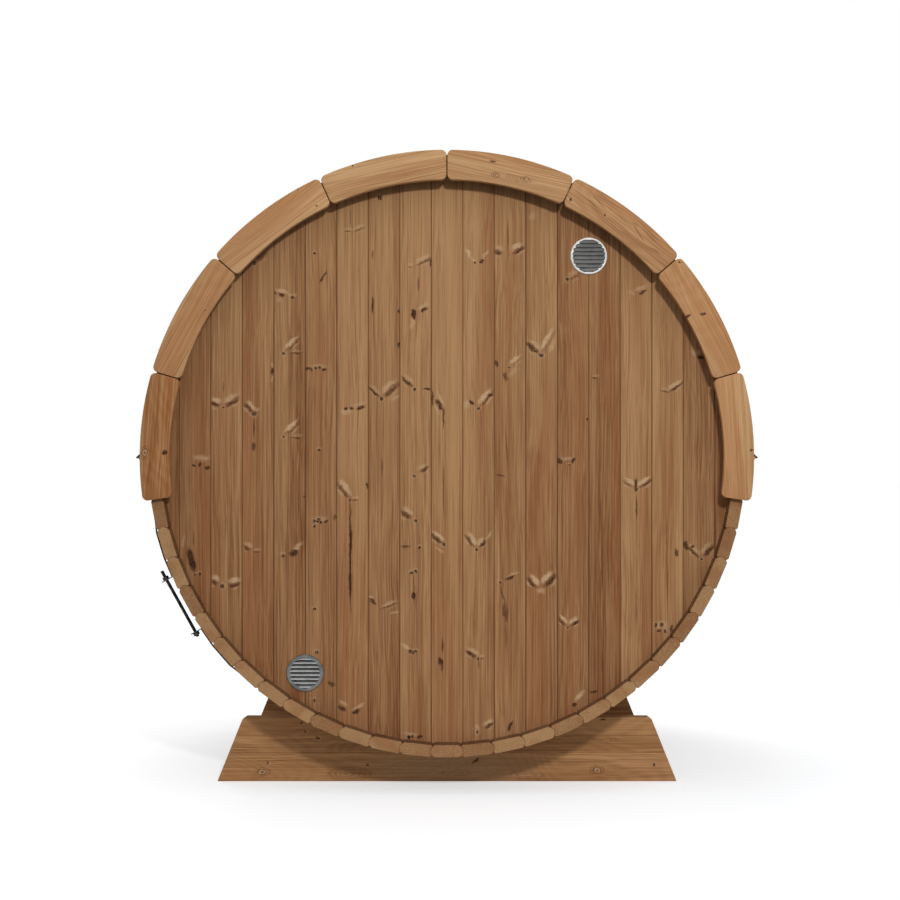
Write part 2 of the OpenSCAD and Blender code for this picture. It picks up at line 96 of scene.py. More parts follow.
def srgb(red, green, blue):
    """A colour given as 0 to 255 screen values, in the renderer's linear light."""
    linear = []
    for value in (red, green, blue):
        share = value / 255
        linear.append(share / 12.92 if share <= 0.04045 else ((share + 0.055) / 1.055) ** 2.4)
    return (*linear, 1.0)


# Camera, as the photograph was taken: level, square to the rear end
CAMERA_PLACE = (0.0104, -6.65, 1.157)
LENS = 68.72
SENSOR_W = 36

scene = bpy.context.scene
camera_data = bpy.data.cameras.new("camera")
camera_data.lens = LENS
camera_data.sensor_width = SENSOR_W
camera = bpy.data.objects.new("camera", camera_data)
camera.location = CAMERA_PLACE
camera.rotation_euler = (math.pi / 2, 0, 0)
scene.collection.objects.link(camera)
scene.camera = camera
scene.view_settings.view_transform = "Standard"


class Graph:
    """Adds nodes to a tree. An input is a socket, which is linked, or a plain value, which is set."""

    def __init__(self, tree):
        self.tree = tree

    def add(self, kind, inputs, out=0, **settings):
        node = self.tree.nodes.new(kind)
        for key, value in settings.items():
            setattr(node, key, value)
        for key, value in inputs.items():
            self.set(node.inputs[key], value)
        return node.outputs[out]

    def set(self, socket, value):
        if isinstance(value, bpy.types.NodeSocket):
            self.tree.links.new(value, socket)
        else:
            socket.default_value = value

    def attribute(self, name, out="Fac"):
        return self.add("ShaderNodeAttribute", {}, out, attribute_name=name)

    def math(self, operation, *values):
        return self.add("ShaderNodeMath", dict(enumerate(values)), operation=operation)

    def vector(self, operation, *values, out=0):
        return self.add("ShaderNodeVectorMath", dict(enumerate(values)), out, operation=operation)

    def linear(self, value, factor, plus):
        return self.math("MULTIPLY_ADD", value, factor, plus)

    def noise(self, place, scale, detail=2.0, roughness=0.5):
        scaled = self.vector("MULTIPLY", place, scale)
        inputs = {"Vector": scaled, "Scale": 1.0, "Detail": detail, "Roughness": roughness}
        return self.add("ShaderNodeTexNoise", inputs)

    def span(self, value, low, high, to_low=0.0, to_high=1.0):
        inputs = {"Value": value, "From Min": low, "From Max": high, "To Min": to_low, "To Max": to_high}
        return self.add("ShaderNodeMapRange", inputs, interpolation_type="SMOOTHSTEP")

    def mix(self, factor, a, b):
        return self.add("ShaderNodeMix", {0: factor, 6: a, 7: b}, 2, data_type="RGBA")

    def bump(self, height, strength, distance):
        return self.add("ShaderNodeBump", {"Height": height, "Strength": strength, "Distance": distance})


def new_material(name):
    material = bpy.data.materials.new(name)
    material.use_nodes = True
    shader = material.node_tree.nodes["Principled BSDF"]
    return material, Graph(material.node_tree), shader


# Marks in wood. Each is a soft-edged oval, given in millimetres across the board and along its grain:
# its middle, its half length and half width, how far it is turned from straight across the board in
# degrees, how strong it is, its shade, and the share of it that is full strength. A ring is a line along
# the oval's edge instead, and its last value is half the line's width as a share of the oval.
def oval(x, l, half_l, half_w, turn, amount, shade="dark", core=0.25):
    return (x * MM, l * MM, half_l * MM, half_w * MM, math.radians(turn), amount, shade, core)


def spot(x, l, radius, amount, shade="dark", core=0.35):
    return oval(x, l, radius, radius, 0, amount, shade, core)


def lens(x, l, half_l, half_w, turn, dark=0.9):
    """A knot sawn through: brown, with a dark heart."""
    return [
        oval(x, l, 1.15 * half_l, 1.25 * half_w, turn, 0.9 * dark, "red", 0.6),
        oval(x, l, 0.95 * half_l, 0.9 * half_w, turn, 0.95 * dark, "dark", 0.55),
    ]


def gleam(x, l, half_l, half_w, turn, amount=0.6):
    return [oval(x, l, half_l, half_w, turn, amount, "pale", 0.15)]


def wing(x, l, turn, near, far, width, dark, pale):
    """One wing of a spike knot, between two distances from its pith: dark below, pale along its top."""
    run_x, run_l = math.cos(math.radians(turn)), math.sin(math.radians(turn))
    up_x, up_l = (-run_l, run_x) if turn < 90 else (run_l, -run_x)
    middle, half = (near + far) / 2, (far - near) / 2

    def beside(lift, half_l, half_w, amount, shade, core):
        return oval(x + run_x * middle + up_x * lift, l + run_l * middle + up_l * lift, half_l, half_w,
                    turn, amount, shade, core)

    return [
        beside(1.1 * width + 3, 1.1 * half + 6, width + 4, pale, "pale", 0.3),
        beside(-1.1 * width - 3, 0.9 * half, 0.7 * width, 0.5 * pale, "pale", 0.1),
        beside(0, 1.3 * half, 1.05 * width, 0.9 * dark, "red", 0.6),
        beside(-0.25 * width, 1.1 * half, 0.65 * width, 0.85 * dark, "dark", 0.4),
    ]


def spike(x, l, *wings, eye=1.0):
    """A spike knot: wings about a pith, each its turn, near, far, half width, and how dark and pale."""
    marks = [mark for one in wings for mark in wing(x, l, *one)]
    if eye:
        marks += [spot(x, l, 13 * eye, 0.4, "pale", 0.4), spot(x, l, 8 * eye, 1.0, "dark", 0.5)]
    return marks


def dot(x, l, size=1.0):
    return [*gleam(x, l + 5, 17 * size, 11 * size, 0, 0.35), spot(x, l, 8.5 * size, 1.0, "dark", 0.5)]


def dots(l, *places):
    return [mark for x in places for mark in dot(x, l + 3 * math.sin(x), 0.85)]


def crack(x, l, length, amount=0.8, half_w=3.0, turn=90):
    return [
        oval(x, l, length / 2, 2 * half_w, turn, 0.7 * amount, "red", 0.3),
        oval(x, l, length / 2, 1.1 * half_w, turn + 0.5, amount, "line", 0.4),
    ]


def line(x, l, length, turn=90, amount=0.5):
    """A dark line of late wood."""
    return [oval(x, l, length / 2, 2.8, turn, amount, "line", 0.3)]


def nick(x, l, half_l=12):
    return [oval(x, l, half_l, 6, 90, 0.95, "dark", 0.4)]


def ring_eye(x, l, size):
    """A sound round knot: rings about a dark pith."""
    return [
        oval(x, l, 20 * size, 12 * size, 90, 0.45, "pale", 0.5),
        oval(x, l, 14 * size, 9 * size, 90, 0.85, "ring", 0.32),
        oval(x, l, 25 * size, 15 * size, 90, 0.5, "ring", 0.16),
        spot(x, l, 5 * size, 0.9, "dark", 0.4),
    ]


def whorl(x, l, half_l, half_w, count=3):
    """Growth rings that close about a rise in the grain."""
    shares = [k / count for k in range(1, count + 1)]
    return [oval(x, l, half_l * share, half_w * share, 90, 0.4, "ring", 0.12 / share) for share in shares]


def all_of(knots):
    return [mark for one in knots for mark in one]


def marked(graph, place, marks, shade):
    """How far a place is inside the marks of one shade, from 0 to 1."""
    total = None
    for x, l, half_l, half_w, turn, amount, kind, core in marks:
        if kind != shade:
            continue
        inputs = {"Vector": place, "Location": (x, l, 0), "Rotation": (0, 0, turn)}
        inputs["Scale"] = (half_l, half_w, 1)
        inside = graph.add("ShaderNodeMapping", inputs, vector_type="TEXTURE")
        distance = graph.vector("LENGTH", inside, out=1)
        if kind == "ring":
            off_line = graph.math("ABSOLUTE", graph.math("SUBTRACT", distance, 1.0))
            inside = graph.span(off_line, core, 0.3 * core, 0.0, amount)
        else:
            inside = graph.span(distance, 1.0, core, 0.0, amount)
        total = inside if total is None else graph.math("MAXIMUM", total, inside)
    return total


MARK_COLOURS = {
    "pale": srgb(200, 168, 130), "ring": srgb(92, 56, 34), "red": srgb(98, 60, 38),
    "line": srgb(56, 33, 22), "dark": srgb(44, 26, 18),
}
# Painted shade: the colour mixed into board joints, the notches between staves and the recesses, where
# shade falls
GROOVE_SHADE_COLOUR = srgb(70, 42, 26)

# Noise in wood, by how often it repeats in a metre across the board, along it and into it
WANDER_SCALE = (3.0, 1.7, 3.0)
BROAD_SCALE = (22.0, 0.5, 22.0)
NARROW_SCALE = (190.0, 1.4, 190.0)
FIBRE_SCALE = (430.0, 5.0, 430.0)
RISE_SCALE = (2.0, 1.3, 2.0)
SPECK_SCALE = (330.0, 40.0, 330.0)
PATCH_SCALE = (14.0, 0.7, 14.0)
RAGGED_SCALE = (75.0, 40.0, 0.0)
RAGGED_ALONG_SCALE = (40.0, 70.0, 5.0)
ROUGH_SCALE = (330.0, 120.0, 5.0)

# How far boards lie apart in the noise, how far grain and marks stray in metres, and how strong each is
TREE_STEP = (7.0, 11.0, 13.0)
WANDER_SHIFT = (0.024, 0.0, 0.024)
RING_PITCH = 0.007
RAGGED = 0.018
CALM = 0.005
STREAK_SPAN = 0.19
GRAIN_STRENGTH = 0.62
FIBRE_STRENGTH = 1.2
TONE_STRENGTH = 0.40
WORN_STRENGTH = 0.18
HEARTWOOD = (1.45, 1.35, 1.3)


def wood(name, light, deep, marks=(), contrast=1.0, figure=0.0, height_shade=0.0, specular=0.1):
    """Sawn softwood. Its pattern runs through the solid, along the second part of the grain attribute."""
    material, graph, shader = new_material(name)
    grain = graph.attribute("grain", "Vector")
    seed = graph.attribute("seed")
    tone = graph.attribute("tone")
    end = graph.attribute("end")
    worn = graph.attribute("worn")
    painted_shade = graph.attribute("painted_shade")

    # Each board comes from its own tree, and its grain wanders along the board
    apart = graph.add("ShaderNodeVectorMath", {0: TREE_STEP, "Scale": seed}, operation="SCALE")
    here = graph.vector("ADD", grain, apart)
    wander = graph.math("SUBTRACT", graph.noise(here, WANDER_SCALE, 1.0), 0.5)
    shift = graph.add("ShaderNodeVectorMath", {0: WANDER_SHIFT, "Scale": wander}, operation="SCALE")
    lines = graph.vector("ADD", here, shift)
    broad = graph.noise(lines, BROAD_SCALE, 1.0)
    narrow = graph.noise(lines, NARROW_SCALE, 2.0, 0.6)
    fibre = graph.noise(lines, FIBRE_SCALE, 2.0, 0.6)

    # Growth rings: arcs on the ends, and broken wandering lines on the faces where figure asks for them
    parts = graph.add("ShaderNodeSeparateXYZ", {0: grain})
    across, along, depth = (parts.node.outputs[k] for k in range(3))
    rise = graph.noise(here, RISE_SCALE, 2.0)
    cut = graph.math("ADD", depth, graph.linear(rise, 0.22, 0.02))
    aside = graph.linear(wander, 0.10, across)
    squares = graph.math("ADD", graph.math("POWER", aside, 2.0), graph.math("POWER", cut, 2.0))
    ring = graph.math("SQRT", squares)
    uneven = graph.linear(broad, 5.0, fibre)
    wave = graph.math("SINE", graph.linear(ring, 2 * math.pi / RING_PITCH, uneven))
    rings = graph.linear(wave, 0.5, 0.5)

    streaks = graph.linear(broad, 0.4, graph.math("MULTIPLY", narrow, 0.6))
    streaks = graph.span(streaks, 0.5 - STREAK_SPAN / contrast, 0.5 + STREAK_SPAN / contrast)
    faced = graph.add("ShaderNodeMix", {0: figure, 2: streaks, 3: rings}, 0, data_type="FLOAT")
    speck = graph.noise(here, SPECK_SCALE, 3.0, 0.7)
    speck = graph.span(speck, 0.3, 0.7)
    ended = graph.linear(rings, 0.25, graph.math("MULTIPLY", speck, 0.75))
    level = graph.add("ShaderNodeMix", {0: end, 2: faced, 3: ended}, 0, data_type="FLOAT")
    level = graph.linear(graph.math("SUBTRACT", level, 0.5), GRAIN_STRENGTH, 0.5)
    level = graph.linear(graph.math("SUBTRACT", fibre, 0.5), FIBRE_STRENGTH, level)
    level = graph.linear(tone, TONE_STRENGTH, level)
    # Painted shade: darker towards the bottom, standing in for light that falls off down the wall
    level = graph.linear(along, height_shade, level)
    level = graph.linear(worn, WORN_STRENGTH, level)
    level = graph.add("ShaderNodeClamp", {"Value": level})
    colour = graph.mix(level, deep, light)

    # Redder heartwood in slow streaks
    patch = graph.span(graph.noise(lines, PATCH_SCALE, 3.0), 0.45, 0.7, 0.0, 0.4)
    red = tuple(part * factor for part, factor in zip(deep[:3], HEARTWOOD))
    colour = graph.mix(patch, colour, (*red, 1.0))

    if marks:
        ragged = graph.noise(here, RAGGED_SCALE, 3.0)
        other = graph.noise(here, RAGGED_ALONG_SCALE, 3.0)
        ragged_x = graph.math("ADD", across, graph.linear(ragged, RAGGED, -RAGGED / 2))
        ragged_l = graph.math("ADD", along, graph.linear(other, RAGGED, -RAGGED / 2))
        place = graph.add("ShaderNodeCombineXYZ", {0: ragged_x, 1: ragged_l, 2: 0.0})
        rough = graph.noise(here, ROUGH_SCALE, 3.0, 0.7)
        rough = graph.span(rough, 0.36, 0.58, 0.5, 1.0)
        whole = graph.math("SUBTRACT", 1.0, end)
        broken = graph.math("MULTIPLY", rough, whole)
        calm_x = graph.math("ADD", across, graph.linear(ragged, CALM, -CALM / 2))
        calm = graph.add("ShaderNodeCombineXYZ", {0: calm_x, 1: along, 2: 0.0})
        for shade, tint in MARK_COLOURS.items():
            straight = shade == "line"
            inside = marked(graph, calm if straight else place, marks, shade)
            if inside is not None:
                strength = graph.math("MULTIPLY", inside, whole if straight else broken)
                colour = graph.mix(strength, colour, tint)
    # Painted shade in joints, notches and recesses
    colour = graph.mix(painted_shade, colour, GROOVE_SHADE_COLOUR)

    graph.set(shader.inputs["Base Color"], colour)
    graph.set(shader.inputs["Roughness"], graph.span(level, 0.0, 1.0, 0.8, 0.66))
    shader.inputs["Specular IOR Level"].default_value = specular
    height = graph.linear(narrow, 0.6, fibre)
    graph.set(shader.inputs["Normal"], graph.bump(height, 0.35, 0.0006))
    return material


GRANULE_SCALE = (700.0, 700.0, 700.0)
FADE_SCALE = (5.0, 9.0, 5.0)
SMEAR_SCALE = (35.0, 35.0, 60.0)
PEEL_SCALE = (900.0, 900.0, 900.0)


def felt(name, low, high):
    """Bitumen roofing with a mineral surface: fine bright and dark granules, and slow fading."""
    material, graph, shader = new_material(name)
    place = graph.add("ShaderNodeTexCoord", {}, "Object")
    granule = graph.noise(place, GRANULE_SCALE, 2.0, 0.7)
    fade = graph.noise(place, FADE_SCALE, 3.0)
    level = graph.linear(graph.attribute("tone"), 0.5, graph.span(granule, 0.35, 0.75))
    level = graph.linear(graph.math("SUBTRACT", fade, 0.5), 0.5, level)
    level = graph.add("ShaderNodeClamp", {"Value": level})
    graph.set(shader.inputs["Base Color"], graph.mix(level, low, high))
    graph.set(shader.inputs["Roughness"], graph.span(granule, 0.2, 0.8, 0.95, 0.8))
    shader.inputs["Specular IOR Level"].default_value = 0.2
    graph.set(shader.inputs["Normal"], graph.bump(granule, 0.5, 0.001))
    return material


def coated(name, low, high, roughness, metallic=0.0):
    """Painted or coated metal with a fine texture, faint smears and worn edges."""
    material, graph, shader = new_material(name)
    place = graph.add("ShaderNodeTexCoord", {}, "Object")
    smear = graph.noise(place, SMEAR_SCALE, 3.0)
    peel = graph.noise(place, PEEL_SCALE, 2.0)
    worn = graph.attribute("worn")
    level = graph.linear(worn, 0.6, graph.span(smear, 0.3, 0.7))
    level = graph.add("ShaderNodeClamp", {"Value": level})
    graph.set(shader.inputs["Base Color"], graph.mix(level, low, high))
    graph.set(shader.inputs["Roughness"], graph.span(smear, 0.25, 0.75, roughness + 0.1, roughness - 0.08))
    shader.inputs["Metallic"].default_value = metallic
    graph.set(shader.inputs["Normal"], graph.bump(peel, 0.15, 0.0002))
    return material


# Meshes
WELD = 1e-5
FLAT = math.radians(0.3)

# Grain along x, y or z: the rows give what is across the grain, along it and inwards
GRAIN_ALONG = (
    ((0, 0, 1), (1, 0, 0), (0, 1, 0)),
    ((1, 0, 0), (0, 1, 0), (0, 0, 1)),
    ((1, 0, 0), (0, 0, 1), (0, 1, 0)),
)


def solid_of(node):
    """The node's solids as a bmesh, welded, and with each flat face in one piece again."""
    bm = bmesh.new()
    bm.from_mesh(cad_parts[node].data)
    bmesh.ops.remove_doubles(bm, verts=bm.verts, dist=WELD)
    bmesh.ops.dissolve_limit(bm, angle_limit=FLAT, verts=bm.verts, edges=bm.edges)
    add_layers(bm)
    return bm


def add_layers(bm):
    for name in ("seed", "tone", "end", "worn", "painted_shade"):
        bm.faces.layers.float.new(name)
    bm.verts.layers.float_vector.new("grain")


def islands(bm):
    """The vertices of each solid."""
    left = set(bm.verts)
    found = []
    while left:
        stack = [left.pop()]
        island = []
        while stack:
            vert = stack.pop()
            island.append(vert)
            for edge in vert.link_edges:
                other = edge.other_vert(vert)
                if other in left:
                    left.remove(other)
                    stack.append(other)
        found.append(island)
    return found


def box_of(verts):
    low = Vector((min(v.co[k] for v in verts) for k in range(3)))
    high = Vector((max(v.co[k] for v in verts) for k in range(3)))
    return low, high


def faces_of(verts):
    return {face for vert in verts for face in vert.link_faces}


def ease(bm, edges, width, segments=2):
    """Rounds edges over, and marks the new faces as worn."""
    before = set(bm.faces)
    bmesh.ops.bevel(
        bm, geom=edges, offset=width, offset_type="OFFSET", segments=segments, profile=0.5,
        affect="EDGES", clamp_overlap=False, loop_slide=True, material=-1,
    )
    worn = bm.faces.layers.float["worn"]
    for face in bm.faces:
        if face not in before:
            face[worn] = 1.0


def sharp_edges(bm, degrees=30):
    return [e for e in bm.edges if len(e.link_faces) == 2 and e.calc_face_angle() > math.radians(degrees)]


def grained(bm, verts, to_grain, seed, tone):
    """Writes the grain coordinates of one board, and how it is told from its neighbours."""
    grain = bm.verts.layers.float_vector["grain"]
    layer = bm.faces.layers.float
    for vert in verts:
        vert[grain] = to_grain @ vert.co
    along = Vector(to_grain[1][:3])
    for face in faces_of(verts):
        face[layer["seed"]] = seed
        face[layer["tone"]] = tone
        face[layer["end"]] = 1.0 if abs(face.normal.dot(along)) > 0.8 else 0.0


def piece(name, bm, nodes, materials, smooth_deg=35):
    """A finished piece that stands for CAD nodes and rides on the one body."""
    bmesh.ops.recalc_face_normals(bm, faces=bm.faces)
    bm.normal_update()
    limit = math.radians(smooth_deg)
    for face in bm.faces:
        face.smooth = True
    for edge in bm.edges:
        edge.smooth = edge.calc_face_angle(math.pi) < limit
    mesh = bpy.data.meshes.new(name)
    bm.to_mesh(mesh)
    bm.free()
    for material in materials:
        mesh.materials.append(material)
    made = bpy.data.objects.new(name, mesh)
    scene.collection.objects.link(made)
    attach(made, "root")
    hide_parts(*nodes)
    return made


# Woods
WALL_LIGHT = srgb(178, 137, 95)
WALL_DEEP = srgb(113, 68, 39)
STAVE_LIGHT = srgb(172, 135, 95)
STAVE_DEEP = srgb(108, 63, 33)
FASCIA_LIGHT = srgb(203, 162, 117)
FASCIA_DEEP = srgb(141, 90, 49)
CRADLE_LIGHT = srgb(184, 139, 94)
CRADLE_DEEP = srgb(108, 66, 37)


KNOT_KINDS = ("spike", "half spike", "half spike", "lens", "lens", "dots", "dot", "crack")


def chance_wing(turn):
    reach, width = knot_rng.uniform(26, 58), knot_rng.uniform(4, 9)
    return (turn, 8, reach, width, knot_rng.uniform(0.3, 1.0), knot_rng.uniform(0.15, 0.6))


def chance_knots(count, half_width, half_length):
    """Knots in chance places, for the sides that the photograph doesn't show."""
    knots = []
    for k in range(count):
        x = knot_rng.uniform(-0.5, 0.5) * half_width
        l = (2 * (k + knot_rng.uniform(0.1, 0.9)) / count - 1) * half_length
        kind = knot_rng.choice(KNOT_KINDS)
        left, right = knot_rng.uniform(115, 175), knot_rng.uniform(5, 65)
        if kind == "spike":
            wings = (chance_wing(left), chance_wing(right))
            knots.append(spike(x, l, *wings, eye=knot_rng.uniform(0.5, 1.1)))
        elif kind == "half spike":
            one = chance_wing(knot_rng.choice((left, right)))
            knots.append(spike(x, l, one, eye=knot_rng.uniform(0.5, 1.2)))
        elif kind == "lens":
            knots.append(lens(x, l, knot_rng.uniform(9, 18), knot_rng.uniform(5, 9), left))
            knots.append(gleam(x, l + 14, knot_rng.uniform(16, 34), 9, left, 0.5))
        elif kind == "dots":
            knots.append(dots(l, x - 12, x, x + 18))
        elif kind == "dot":
            knots.append(dot(x, l, knot_rng.uniform(0.6, 1.1)))
        else:
            knots.append(crack(x, l, knot_rng.uniform(40, 140), knot_rng.uniform(0.4, 0.8), 2.5))
    return knots


